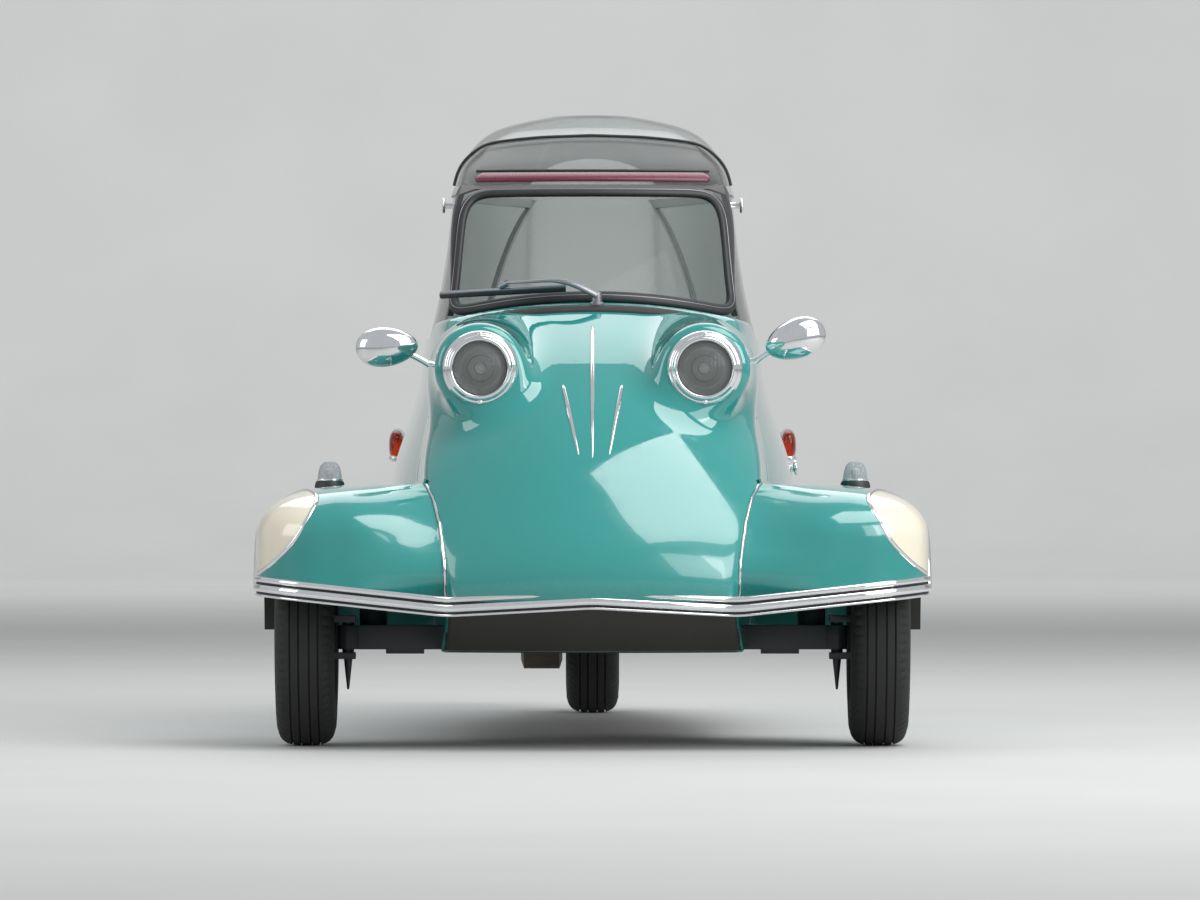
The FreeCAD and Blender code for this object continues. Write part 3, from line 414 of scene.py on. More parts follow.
# level, front, corner half width, its place, cabin half width, rear half width, its place, end
GLAZING = np.array([(0.735, -0.884, 0.288, -0.745, 0.308, 0.150, 0.850, 0.985),
                    (0.835, -0.838, 0.264, -0.690, 0.286, 0.140, 0.760, 0.885),
                    (1.040, -0.605, 0.246, -0.545, 0.250, 0.130, 0.480, 0.600),
                    (1.110, -0.420, 0.219, -0.362, 0.232, 0.116, 0.335, 0.450),
                    (1.165, -0.225, 0.150, -0.190, 0.180, 0.078, 0.190, 0.290),
                    (1.192, -0.090, 0.060, -0.060, 0.075, 0.030, 0.070, 0.110)])
COWL_PLACE = -0.800
CROWN = 0.818
CROWN_EDGE = 0.768


# %% Curves through points
def arc_run(first, via, last, spacing=0.002):
    """Points on the circle from first through via, stopping just short of last."""
    (ax, ay), (bx, by), (cx, cy) = first, via, last
    d = 2 * (ax * (by - cy) + bx * (cy - ay) + cx * (ay - by))
    ux = ((ax**2 + ay**2) * (by - cy) + (bx**2 + by**2) * (cy - ay) + (cx**2 + cy**2) * (ay - by)) / d
    uy = ((ax**2 + ay**2) * (cx - bx) + (bx**2 + by**2) * (ax - cx) + (cx**2 + cy**2) * (bx - ax)) / d
    radius = math.hypot(ax - ux, ay - uy)
    start = math.atan2(ay - uy, ax - ux)
    middle = (math.atan2(by - uy, bx - ux) - start) % (2 * math.pi)
    stop = (math.atan2(cy - uy, cx - ux) - start) % (2 * math.pi)
    if middle > stop:
        stop -= 2 * math.pi
    steps = max(2, int(abs(stop) * radius / spacing))
    turns = start + stop * np.arange(steps) / steps
    return np.stack([ux + radius * np.cos(turns), uy + radius * np.sin(turns)], 1)


def line_run(first, last, spacing=0.002):
    steps = max(2, int(math.dist(first, last) / spacing))
    return np.array(first) + np.outer(np.arange(steps) / steps, np.subtract(last, first))


def resampled(points, count, closed=True):
    """The same curve with evenly spaced points."""
    path = np.vstack([points, points[:1]]) if closed else np.asarray(points)
    lengths = np.concatenate([[0], np.cumsum(np.linalg.norm(np.diff(path, axis=0), axis=1))])
    at = np.linspace(0, lengths[-1], count, endpoint=not closed)
    return np.stack([np.interp(at, lengths, path[:, i]) for i in range(path.shape[1])], 1)


def eased(ring, reach):
    """Round off the corners of an evenly spaced closed curve over a reach in metres."""
    spacing = np.linalg.norm(ring[1] - ring[0])
    waves = np.fft.fftfreq(len(ring), spacing)
    keep = np.exp(-2 * (math.pi * reach * waves) ** 2)
    smooth = np.fft.ifft(np.fft.fft(ring[:, 0] + 1j * ring[:, 1]) * keep)
    return np.stack([smooth.real, smooth.imag], 1)


def natural_cubic(knots, values, at):
    """Cubic curve through rows of values."""
    steps = np.diff(knots)
    count = len(knots)
    matrix = np.eye(count)
    right = np.zeros_like(values)
    for i in range(1, count - 1):
        matrix[i, i - 1:i + 2] = steps[i - 1], 2 * (steps[i - 1] + steps[i]), steps[i]
        right[i] = 6 * ((values[i + 1] - values[i]) / steps[i] - (values[i] - values[i - 1]) / steps[i - 1])
    bends = np.linalg.solve(matrix, right)
    i = np.clip(np.searchsorted(knots, at) - 1, 0, count - 2)
    h = steps[i][:, None]
    a = (knots[i + 1] - at)[:, None] / h
    b = 1 - a
    return (a * values[i] + b * values[i + 1]
            + ((a**3 - a) * bends[i] + (b**3 - b) * bends[i + 1]) * h**2 / 6)


def rows_between(table, count):
    """The table's rows made into many, along a smooth curve."""
    lengths = np.concatenate([[0], np.cumsum(np.linalg.norm(np.diff(table[:, :5], axis=0), axis=1))])
    return natural_cubic(lengths, table, np.linspace(0, lengths[-1], count))


def hull_ring(row, count, reach=0.016):
    z, tip, nose, nose_place, cowl, cabin, tail, tail_place, end = row
    right = [(tail, tail_place), (cowl, COWL_PLACE), (nose, nose_place)]
    left = [(-x, y) for x, y in right]
    runs = [arc_run(left[0], (0, end), right[0]), arc_run(right[0], (cabin, 0), right[1]),
            line_run(right[1], right[2]), arc_run(right[2], (0, tip), left[2]),
            line_run(left[2], left[1]), arc_run(left[1], (-cabin, 0), left[0])]
    ring = np.vstack(runs)
    ring = np.roll(ring, -int(np.argmax(ring[:, 1])), axis=0)
    even = eased(resampled(ring, 2400), reach)
    return resampled(even, count)


def glazing_ring(row, count, reach=0.012):
    z, front, corner, corner_place, cabin, rear, rear_place, end = row
    right = [(rear, rear_place), (corner, corner_place)]
    left = [(-x, y) for x, y in right]
    ring = np.vstack([arc_run(left[0], (0, end), right[0]), arc_run(right[0], (cabin, 0), right[1]),
                      arc_run(right[1], (0, front), left[1]), arc_run(left[1], (-cabin, 0), left[0])])
    ring = np.roll(ring, -int(np.argmax(ring[:, 1])), axis=0)
    return resampled(eased(resampled(ring, 2000), reach), count)


def ring_grid(table, ring_of, around, rows):
    """Grid of points on a skin: rows going up, columns going round from the tail."""
    levels = rows_between(table, rows)
    grid = np.zeros((rows, around, 3))
    for i, row in enumerate(levels):
        grid[i, :, :2] = ring_of(row, around)
        grid[i, :, 2] = row[0]
    return grid


AROUND = 560
hull_grid = ring_grid(HULL, hull_ring, AROUND, 80)
print("hull grid", hull_grid.shape, "front", round(hull_grid[..., 1].min(), 3))


# %% [markdown]
# ## From a grid to a panel
# A body panel is thin sheet with its edge turned in, so a shut line shows a
# soft rounded lip and some depth, and not a knife edge. We cut each panel out
# of the skin along the shut lines, and then fold its border over a small radius.

# %% Cut and fold a panel
def grid_mesh(grid, closed=True):
    """bmesh of a grid, closed round its columns if asked."""
    rows, columns = grid.shape[:2]
    mesh = bmesh.new()
    verts = [mesh.verts.new(point) for point in grid.reshape(-1, 3)]
    span = columns if closed else columns - 1
    for i in range(rows - 1):
        for j in range(span):
            k = (j + 1) % columns
            mesh.faces.new((verts[i * columns + j], verts[(i + 1) * columns + j],
                            verts[(i + 1) * columns + k], verts[i * columns + k]))
    mesh.normal_update()
    return mesh


def inside_polygon(points, polygon):
    """Which 2-D points lie in a polygon."""
    inside = np.zeros(len(points), bool)
    for (ax, ay), (bx, by) in zip(polygon, polygon[1:] + polygon[:1]):
        crosses = (points[:, 1] < ay) != (points[:, 1] < by)
        with np.errstate(divide="ignore", invalid="ignore"):
            at = ax + (points[:, 1] - ay) * (bx - ax) / (by - ay)
        inside ^= crosses & (points[:, 0] < at)
    return inside


def face_middles(mesh, axes=(0, 1, 2)):
    return np.array([f.calc_center_median() for f in mesh.faces])[:, list(axes)]


def cut_along(mesh, first, last, axes, among):
    """Add edges where a line in the plane of two axes crosses the mesh."""
    along, other, spot = Vector((0, 0, 0)), Vector((0, 0, 0)), Vector((0, 0, 0))
    along[axes[0]], along[axes[1]] = last[0] - first[0], last[1] - first[1]
    other[3 - axes[0] - axes[1]] = 1
    spot[axes[0]], spot[axes[1]] = first
    mesh.faces.ensure_lookup_table()
    middles = face_middles(mesh)
    flat = middles[:, list(axes)]
    low, high = np.minimum(first, last) - 0.012, np.maximum(first, last) + 0.012
    near = np.all((flat >= low) & (flat <= high), axis=1) & among(middles)
    faces = [mesh.faces[i] for i in np.nonzero(near)[0]]
    parts = list({e for f in faces for e in f.edges} | {v for f in faces for v in f.verts}) + faces
    bmesh.ops.bisect_plane(mesh, geom=parts, plane_co=spot, plane_no=along.cross(other).normalized(),
                           dist=1e-6)


def everywhere(middles):
    return np.ones(len(middles), bool)


def keep_zone(mesh, polygon, axes=(1, 2), outside=False, among=everywhere):
    """Cut a mesh along a polygon in the plane of two axes and keep what lies in it, or outside it."""
    for first, last in zip(polygon, polygon[1:] + polygon[:1]):
        cut_along(mesh, first, last, axes, among)
    mesh.faces.ensure_lookup_table()
    middles = face_middles(mesh)
    inside = inside_polygon(middles[:, list(axes)], polygon)
    gone = np.nonzero((inside == outside) & among(middles))[0]
    bmesh.ops.delete(mesh, geom=[mesh.faces[i] for i in gone], context="FACES")
    mesh.normal_update()
    return mesh


def fold_edges(mesh, radius, depth, lining=True):
    """Turn every border of a skin in over a radius, and add an inner skin behind it."""
    mesh.normal_update()
    outer = list(mesh.faces)
    borders = [e for e in mesh.edges if len(e.link_faces) == 1]
    outward = {}
    for edge in borders:
        face = edge.link_faces[0]
        across = face.calc_center_median() - edge.verts[0].co
        along = (edge.verts[1].co - edge.verts[0].co).normalized()
        way = -(across - across.dot(along) * along)
        way -= way.dot(face.normal) * face.normal
        if way.length < 1e-9:
            continue
        for vert in edge.verts:
            outward[vert] = outward.get(vert, Vector((0, 0, 0))) + way.normalized() * edge.calc_length()
    rings = {}
    for vert, way in outward.items():
        way = (way - way.dot(vert.normal) * vert.normal).normalized()
        ring = [vert]
        for turn in (0.45, 0.9, math.pi / 2):
            ring.append(mesh.verts.new(vert.co + radius * (math.sin(turn) * way
                                                           - (1 - math.cos(turn)) * vert.normal)))
        ring.append(mesh.verts.new(vert.co + radius * way - depth * vert.normal))
        rings[vert] = ring
    normals = {vert: vert.normal.copy() for face in outer for vert in face.verts}
    for edge in borders:
        a, b = edge.verts
        if a not in rings or b not in rings:
            continue
        if [loop for loop in edge.link_faces[0].loops if loop.vert == a][0].link_loop_next.vert != b:
            a, b = b, a
        for i in range(4):
            mesh.faces.new((rings[b][i], rings[a][i], rings[a][i + 1], rings[b][i + 1]))
    if lining:
        inner = {vert: rings[vert][4] if vert in rings else mesh.verts.new(vert.co - depth * normal)
                 for vert, normal in normals.items()}
        for face in outer:
            mesh.faces.new([inner[v] for v in reversed(face.verts)])
    mesh.normal_update()
    return mesh


def finished(name, mesh, materials, body, replaced=(), angle=40):
    """Turn a bmesh into a piece of the car that rides on a body; faces keep their material number."""
    data = bpy.data.meshes.new(name)
    mesh.to_mesh(data)
    mesh.free()
    for polygon in data.polygons:
        polygon.use_smooth = True
    data.set_sharp_from_angle(angle=math.radians(angle))
    for material in materials if isinstance(materials, tuple) else (materials,):
        data.materials.append(material)
    thing = bpy.data.objects.new(name, data)
    scene.collection.objects.link(thing)
    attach(thing, body)
    if replaced:
        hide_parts(*replaced)
    print(name, len(data.polygons), "faces")
    return thing


# %% [markdown]
# ## Tub, tail and engine lid
# The tub carries the seats, and its upper edge is the sill that one steps
# over. The tail closes over the rear wheel, and the lid over the engine lies in
# its deck. All three are cut from the same skin, so their surfaces run on
# across the gaps, as they do on a well-fitted car.

# %% Zones of the body seen from the side
LIP = 0.0028
HALF_GAP = 0.003
NOSE_END = -0.790
TUB_END = 0.260
INSET = HALF_GAP + LIP
SHUT_LINE = [(-0.902, 0.840), (-0.800, 0.465), (0.0, 0.465), (0.260, 0.600), (1.006, 0.742)]
HAIR = LIP + 0.0006
tub_zone = [(NOSE_END + HAIR, 0.178), (TUB_END - HAIR, 0.178), (TUB_END - HAIR, 0.600 - INSET - HAIR / 2),
            (0.0, 0.465 - INSET), (-0.800, 0.465 - INSET), (NOSE_END + HAIR, 0.440)]
tail_zone = [(TUB_END + HAIR, 0.178), (1.5, 0.178), (1.5, 0.9), (1.006 + INSET, 0.9),
             (1.006 + INSET, 0.742 - INSET), (TUB_END + HAIR, 0.600 - INSET)]
LID = (-0.092, 1.045, 0.092, 1.268)


def hull_part(low, high):
    """The rows of the hull between two heights."""
    levels = hull_grid[:, 0, 2]
    return grid_mesh(hull_grid[(levels >= low - 0.012) & (levels <= high + 0.012)])


tub = keep_zone(hull_part(0.17, 0.62), tub_zone)
finished("tub_skin", fold_edges(tub, LIP, 0.013), turquoise, "body", ["tub_shell"])


# %% Tail with the lid cut out of its deck
def rectangle(low_x, low_y, high_x, high_y, grow=0.0):
    return [(low_x - grow, low_y - grow), (high_x + grow, low_y - grow),
            (high_x + grow, high_y + grow), (low_x - grow, high_y + grow)]


def on_deck(middles):
    return middles[:, 2] > 0.56


def down_low(middles):
    return (middles[:, 2] < 0.44) & (middles[:, 1] > 0.60)


WHEEL_WAY = rectangle(-0.095, 0.770, 0.095, 1.290, grow=LIP)
tail = keep_zone(hull_part(0.17, 0.83), tail_zone)
lid = keep_zone(tail.copy(), rectangle(*LID, grow=-LIP), (0, 1))
bmesh.ops.delete(lid, geom=[f for f in lid.faces if f.calc_center_median().z < 0.56], context="FACES")
tail = keep_zone(tail, rectangle(*LID, grow=0.006 + LIP), (0, 1), outside=True, among=on_deck)
tail = keep_zone(tail, WHEEL_WAY, (0, 1), outside=True, among=down_low)
finished("tail_skin", fold_edges(tail, LIP, 0.013), turquoise, "body", ["tail_shell"])
finished("engine_lid_skin", fold_edges(lid, LIP, 0.012), turquoise, "engine_lid", ["engine_lid"])


# %% [markdown]
# ## Canopy frame
# The canopy frame swings up with the whole top. Its cowl, the strip ahead of
# the windscreen, is crowned across the car. We run every column of the skin up the
# side and then inwards over the crown, and let the corner between the two relax
# into a soft radius, the way a panel beater would dress it.

# %% Skin of the canopy frame
def crown_height(x):
    rise = CROWN - CROWN_EDGE
    radius = (0.34**2 + rise**2) / (2 * rise)
    return CROWN - radius + np.sqrt(radius**2 - np.minimum(np.abs(x), 0.34)**2)


def relaxed(path, reach):
    """Round off the corners of an evenly spaced open curve."""
    spacing = np.linalg.norm(path[1] - path[0])
    width = max(1, int(3 * reach / spacing))
    offsets = np.arange(-width, width + 1)
    weights = np.exp(-0.5 * (offsets * spacing / reach) ** 2)
    before = 2 * path[0] - path[width:0:-1]
    after = 2 * path[-1] - path[-2:-width - 2:-1]
    long_path = np.vstack([before, path, after])
    columns = [np.convolve(long_path[:, i], weights / weights.sum(), "valid") for i in range(path.shape[1])]
    return np.stack(columns, 1)


def canopy_columns(rows=64):
    levels = rows_between(GLAZING, 400)
    foot = glazing_ring(levels[np.argmin(np.abs(levels[:, 0] - 0.80))], AROUND)
    start = int(np.argmax(hull_grid[:, 0, 2] > 0.445))
    grid = np.zeros((rows, AROUND, 3))
    for k in range(AROUND):
        side = hull_grid[start:, k]
        over = np.nonzero(side[:, 2] > crown_height(side[:, 0]))[0]
        last = over[0] if len(over) else len(side) - 1
        low, high = side[last - 1], side[last]
        low_gap = crown_height(low[0]) - low[2]
        high_gap = crown_height(high[0]) - high[2]
        edge = low + (high - low) * low_gap / (low_gap - high_gap)
        inward = np.append(foot[k] * 0.985, 0)
        inward[2] = crown_height(inward[0])
        shares = np.linspace(0, 1, 24)[1:, None]
        top = edge + (inward - edge) * shares
        top[:, 2] = crown_height(top[:, 0])
        column = resampled(np.vstack([side[:last], [edge], top]), rows, closed=False)
        grid[:, k] = relaxed(column, 0.007)
    return grid


canopy_zone = [(-0.902 + INSET, 0.84), (-0.800 + INSET, 0.465 + INSET), (0.0, 0.465 + INSET),
               (0.260, 0.600 + INSET), (1.006 - INSET, 0.742 + INSET), (1.006 - INSET, 0.800),
               (0.900, 0.7515),
               (-0.640, 0.7515), (-0.740, 0.803), (-0.790, 0.84)]
canopy_grid = canopy_columns()
canopy = keep_zone(grid_mesh(canopy_grid), canopy_zone)
finished("canopy_skin", fold_edges(canopy, LIP, 0.012), turquoise, "canopy", ["canopy_frame"])


# %% [markdown]
# ## Nose with its lamp pods
# The headlamps sit in round pods that grow out of the nose. The steel flows from
# pod to nose over a soft fillet, which is the most difficult shape of the car. We
# fuse hull and pods with a voxel remesh, and then pull every vertex onto the
# smooth union of the two shapes, so the gloss shows no voxel steps.

# %% Smooth union of hull and pods
LAMP_X = 0.205
LAMP_Z = 0.693
LAMP_FACE = -1.172
POD_RADIUS = 0.084
POD_BACK = -0.905
POD_EDGE = 0.022
FILLET = 0.075


def pod_distance(points):
    """Signed distance to the nearer pod, a cylinder with a rounded front, and its direction."""
    across = np.abs(points[:, 0]) - LAMP_X
    up = points[:, 2] - LAMP_Z
    radial = np.hypot(across, up)
    middle = (LAMP_FACE + POD_BACK) / 2
    half = (POD_BACK - LAMP_FACE) / 2
    along = points[:, 1] - middle
    qx = radial - (POD_RADIUS - POD_EDGE)
    qy = np.abs(along) - (half - POD_EDGE)
    outside = np.hypot(np.maximum(qx, 0), np.maximum(qy, 0))
    return outside + np.minimum(np.maximum(qx, qy), 0) - POD_EDGE


def pod_direction(points, step=1e-4):
    slopes = []
    for axis in range(3):
        shift = np.zeros(3)
        shift[axis] = step
        slopes.append((pod_distance(points + shift) - pod_distance(points - shift)) / (2 * step))
    way = np.stack(slopes, 1)
    return way / np.maximum(np.linalg.norm(way, axis=1, keepdims=True), 1e-9)


hull_tree = BVHTree.FromBMesh(grid_mesh(hull_grid))


def hull_distance(points):
    """Signed distance to the hull and the direction away from it."""
    distances = np.zeros(len(points))
    ways = np.zeros((len(points), 3))
    for i, point in enumerate(points):
        spot, normal, _, _ = hull_tree.find_nearest(point)
        gap = Vector(point) - spot
        distances[i] = gap.length if gap.dot(normal) > 0 else -gap.length
        ways[i] = normal
    return distances, ways


def onto_union(points):
    """Pull points onto the smooth union of hull and pods."""
    for _ in range(5):
        hull_gap, hull_way = hull_distance(points)
        pod_gap = pod_distance(points)
        share = np.clip(0.5 + 0.5 * (pod_gap - hull_gap) / FILLET, 0, 1)
        gap = pod_gap + (hull_gap - pod_gap) * share - FILLET * share * (1 - share)
        way = pod_direction(points) * (1 - share)[:, None] + hull_way * share[:, None]
        way /= np.maximum(np.linalg.norm(way, axis=1, keepdims=True), 1e-9)
        points = points - 0.9 * gap[:, None] * way
    return points


def remeshed(mesh, voxel):
    """Evenly meshed copy of a closed bmesh."""
    data = bpy.data.meshes.new("block")
    mesh.to_mesh(data)
    mesh.free()
    block = bpy.data.objects.new("block", data)
    scene.collection.objects.link(block)
    modifier = block.modifiers.new("voxels", "REMESH")
    modifier.mode = "VOXEL"
    modifier.voxel_size = voxel
    result = bpy.data.meshes.new_from_object(block.evaluated_get(bpy.context.evaluated_depsgraph_get()))
    bpy.data.objects.remove(block)
    made = bmesh.new()
    made.from_mesh(result)
    return made


# %% Build the nose
def nose_block():
    """Closed front end of the hull with a rod for each pod."""
    block = grid_mesh(hull_grid)
    bmesh.ops.bisect_plane(block, geom=block.faces[:] + block.edges[:] + block.verts[:], dist=1e-6,
                           plane_co=(0, -0.74, 0), plane_no=(0, 1, 0), clear_outer=True)
    bmesh.ops.holes_fill(block, edges=[e for e in block.edges if len(e.link_faces) == 1])
    for side in (-1, 1):
        length = POD_BACK - LAMP_FACE
        turn = Matrix.Rotation(math.pi / 2, 4, "X")
        spot = Matrix.Translation((side * LAMP_X, (LAMP_FACE + POD_BACK) / 2, LAMP_Z))
        bmesh.ops.create_cone(block, cap_ends=True, segments=64, radius1=POD_RADIUS, radius2=POD_RADIUS,
                              depth=length, matrix=spot @ turn)
    return block


nose = remeshed(nose_block(), 0.0062)
bmesh.ops.delete(nose, geom=[f for f in nose.faces if f.calc_center_median().y > -0.752], context="FACES")
bottom = [f for f in nose.faces if f.calc_center_median().z < 0.1785 or f.calc_center_median().z > 0.825]
bmesh.ops.delete(nose, geom=bottom, context="FACES")
pulled = onto_union(np.array([v.co for v in nose.verts]))
for vert, point in zip(nose.verts, pulled):
    vert.co = point
for _ in range(3):
    inner_verts = [v for v in nose.verts if not v.is_boundary]
    bmesh.ops.smooth_vert(nose, verts=inner_verts, factor=0.5, use_axis_x=True, use_axis_y=True,
                          use_axis_z=True)
nose_zone = [(-1.5, 0.180), (NOSE_END - HAIR, 0.180), (NOSE_END - HAIR, 0.440), (-0.800 - INSET, 0.465),
             (-0.902 - INSET, 0.840), (-1.5, 0.840)]
nose = keep_zone(nose, nose_zone)


# %% [markdown]
# ## Sockets in the pods and the dark valance
# Each pod is open in front, where the lamp bowl goes in, so the face inside the
# chrome rim is cut away. Below the front moulding, the faces of the nose that
# turn forward take a dark brown-black paint.

# %% Open the pods, paint the valance
MOULDING = ((0.0, 0.257), (0.262, 0.242), (0.642, 0.282))


def moulding_low(x):
    """Height of the moulding's lower edge."""
    return np.interp(np.abs(x), *zip(*MOULDING))


for side in (-1, 1):
    gone = [f for f in nose.faces if f.calc_center_median().y < LAMP_FACE + 0.012
            and math.hypot(f.calc_center_median().x - side * LAMP_X,
                           f.calc_center_median().z - LAMP_Z) < 0.060]
    bmesh.ops.delete(nose, geom=gone, context="FACES")
# forward-facing faces below the moulding take the dark brown-black paint
for face in nose.faces:
    spot = face.calc_center_median()
    low_down = spot.z < moulding_low(spot.x) + 0.012
    face.material_index = 1 if low_down and face.normal.y < -0.35 and abs(spot.x) < 0.272 else 0
nose_tree = BVHTree.FromBMesh(nose)
finished("nose_skin", fold_edges(nose, LIP, 0.012, lining=False), (turquoise, under_paint), "body",
         ["nose_shell"])


# %% [markdown]
# ## Floor pan
# A flat pan closes the underside from nose to tail, with an opening for the rear
# wheel. It is one sheet with a turned-up edge that stands just inside the skin.

# %% Floor pan under nose, tub and tail
def floor_pan():
    edge = resampled(hull_grid[0][:, :2] * 0.985, 360)
    mesh = bmesh.new()
    mesh.faces.new([mesh.verts.new((x, y, 0.176)) for x, y in edge[::-1]])
    bmesh.ops.triangulate(mesh, faces=mesh.faces)
    bmesh.ops.recalc_face_normals(mesh, faces=mesh.faces)
    if sum(f.normal.z for f in mesh.faces) > 0:
        bmesh.ops.reverse_faces(mesh, faces=mesh.faces)
    mesh = keep_zone(mesh, rectangle(-0.095, 0.772, 0.095, 1.290), (0, 1), outside=True)
    return fold_edges(mesh, 0.002, 0.012)


finished("floor_pan", floor_pan(), under_paint, "body")


# %% [markdown]
# ## Front wings
# Each front wing is a separate pressing that is bolted to the nose. It has an
# upright wall, a crown that rolls over into a flat top, and a round wheel
# arch. We draw its plan from tangent arcs, shrink that plan as it rises over the
# crown, and cut off what lies inside the nose.

# %% Plan of a wing
WING_OUT = 0.612
WING_TOP = 0.481
WING_SPRING = 0.379
WING_CROWN = 0.200
WING_INNER = 0.240
WING_FRONT = -1.335
WING_REAR = -0.670
FRONT_CORNER = 0.150
REAR_CORNER = 0.220
AXLE = -1.0
SKIRT = 0.206
FULLNESS = 0.8
FRONT_TURN = math.radians(10)
REAR_TURN = math.radians(12)


def wing_plan(share):
    """Open plan curve of a wing from its inner rear corner to its inner front corner."""
    drawn_in = share * WING_CROWN
    out = WING_OUT - drawn_in
    nose_radius = FRONT_CORNER * (1 - 0.55 * share)
    tail_radius = REAR_CORNER * (1 - 0.7 * share)
    nose_middle = WING_FRONT + drawn_in + nose_radius
    tail_middle = WING_REAR - drawn_in - tail_radius
    quarter = math.pi / 2

    def turned(radius, middle, way, turns):
        return np.stack([out - radius + radius * np.sin(turns), middle + way * radius * np.cos(turns)], 1)

    start = turned(nose_radius, nose_middle, -1, np.array([FRONT_TURN]))[0]
    stop = turned(tail_radius, tail_middle, 1, np.array([REAR_TURN]))[0]
    front_radius = (start[0] - WING_INNER) / math.sin(FRONT_TURN)
    centre = start[1] + front_radius * math.cos(FRONT_TURN)
    turns = np.linspace(0, FRONT_TURN, 48)[:-1]
    front = np.stack([WING_INNER + front_radius * np.sin(turns), centre - front_radius * np.cos(turns)], 1)
    corner = turned(nose_radius, nose_middle, -1, np.linspace(FRONT_TURN, quarter, 44)[:-1])
    tail_arc = turned(tail_radius, tail_middle, 1, np.linspace(quarter, REAR_TURN, 50)[:-1])
    side = np.linspace(corner[-1], tail_arc[0], 64)[1:-1]
    inner = (WING_INNER, stop[1] + (stop[0] - WING_INNER) * math.tan(REAR_TURN))
    back = np.linspace(stop, inner, 40)
    return np.vstack([front, corner, side, tail_arc, back])[::-1]


def wing_grid():
    """Rows up the wall, over the crown and across the flat top to a middle line."""
    rows = [np.column_stack([wing_plan(0), np.full(len(wing_plan(0)), z)])
            for z in np.linspace(SKIRT, WING_SPRING, 26, endpoint=False)]
    for turn in np.linspace(0, math.pi / 2, 38):
        share = 1 - max(math.cos(turn), 0.0) ** FULLNESS
        plan = wing_plan(share)
        height = WING_SPRING + (WING_TOP - WING_SPRING) * math.sin(turn) ** FULLNESS
        rows.append(np.column_stack([plan, np.full(len(plan), height)]))
    top = rows[-1]
    spine = np.column_stack([np.minimum(top[:, 0], 0.360), np.full(len(top), AXLE), top[:, 2]])
    for share in np.linspace(0, 1, 14)[1:]:
        rows.append(top + (spine - top) * share)
    return np.array(rows)


# height of the seam between wing and nose in front, and its distance from the middle
SEAM = ((0.240, 0.262), (0.276, 0.2635), (0.345, 0.2665), (0.410, 0.2760), (0.455, 0.2880), (0.481, 0.3020))


def let_into_nose(rows, reach=0.170):
    """Bend the front of each row, so that it meets the nose at the seam."""
    for row in rows:
        height = row[0, 2]
        if height < SEAM[0][0]:
            continue
        place = float(np.interp(height, *zip(*SEAM)))
        front = row[:, 1] < -1.06
        if not front.any():
            continue
        order = np.argsort(row[front, 0])
        wing_y = float(np.interp(place, row[front, 0][order], row[front, 1][order]))
        spot, _, _, _ = hull_tree.ray_cast(Vector((place, -3, height)), Vector((0, 1, 0)))
        share = np.clip(1 - (row[:, 0] - place) / reach, 0, 1)
        ease = share * share * (3 - 2 * share)
        inside = np.maximum(place - row[:, 0], 0)
        row[:, 1] += np.where(front, (spot.y - wing_y) * ease + 0.9 * inside, 0)
    return rows


wing_points = let_into_nose(wing_grid())
gaps, _ = hull_distance(wing_points.reshape(-1, 3))
wing_gaps = gaps.reshape(wing_points.shape[:2])
print("wing grid", wing_points.shape)


# %% Cut and fold a wing
def circle(middle, radius, steps=72):
    return [(middle[0] + radius * math.cos(2 * math.pi * i / steps),
             middle[1] + radius * math.sin(2 * math.pi * i / steps)) for i in range(steps)]


def ahead_of_arch(middles):
    return middles[:, 1] < -1.150


def outer_wall(middles):
    return middles[:, 0] > 0.38


FLOOR_LINE = [(x, moulding_low(x) + 0.010) for x in (0.20, 0.262, 0.70)]
FRONT_PART = FLOOR_LINE + [(0.70, 0.60), (0.20, 0.60)]
ARCH_HEIGHT = 0.170
ARCH_RADIUS = 0.230
ARCH = circle((AXLE, ARCH_HEIGHT), ARCH_RADIUS + LIP)


def wing_mesh():
    """One wing, cut by the front moulding's line, the wheel arch and the hull."""
    mesh = grid_mesh(wing_points, closed=False)
    bmesh.ops.remove_doubles(mesh, verts=mesh.verts, dist=1e-5)
    middles = face_middles(mesh)
    buried = (middles[:, 0] < 0.42) & (hull_distance(middles)[0] < -0.005)
    mesh.faces.ensure_lookup_table()
    bmesh.ops.delete(mesh, geom=[mesh.faces[i] for i in np.nonzero(buried)[0]], context="FACES")
    mesh = keep_zone(mesh, FRONT_PART, (0, 2), among=ahead_of_arch)
    return keep_zone(mesh, ARCH, (1, 2), outside=True, among=outer_wall)


# %% [markdown]
# ## Cream flash
# The flash is a second colour that sweeps up over the shoulder of the wing and
# tapers to a point behind the wheel. A painter masks it along a chrome strip. We
# do as the painter does: the colour edge is one curve on the surface, and the
# faces on its outer side take the cream.

# %% Edge of the flash
FLASH_EDGE = np.array([(0.600, -1.216, 0.318), (0.574, -1.266, 0.336), (0.553, -1.286, 0.355),
                       (0.528, -1.297, 0.381), (0.508, -1.299, 0.411), (0.499, -1.285, 0.445),
                       (0.507, -1.225, 0.472), (0.528, -1.120, 0.4665), (0.549, -1.000, 0.456),
                       (0.571, -0.880, 0.438), (0.589, -0.790, 0.414), (0.600, -0.735, 0.391)])


def spline_points(points, count, closed=False):
    """Evenly spaced points on a smooth curve through a few points."""
    points = np.asarray(points, float)
    if closed:
        points = np.vstack([points[-3:], points, points[:3]])
    lengths = np.concatenate([[0], np.cumsum(np.linalg.norm(np.diff(points, axis=0), axis=1))])
    first, last = (lengths[3], lengths[-3]) if closed else (lengths[0], lengths[-1])
    fine = natural_cubic(lengths, points, np.linspace(first, last, 12 * count + 1))
    return resampled(fine, count, closed=False)[:-1] if closed else resampled(fine, count, closed=False)


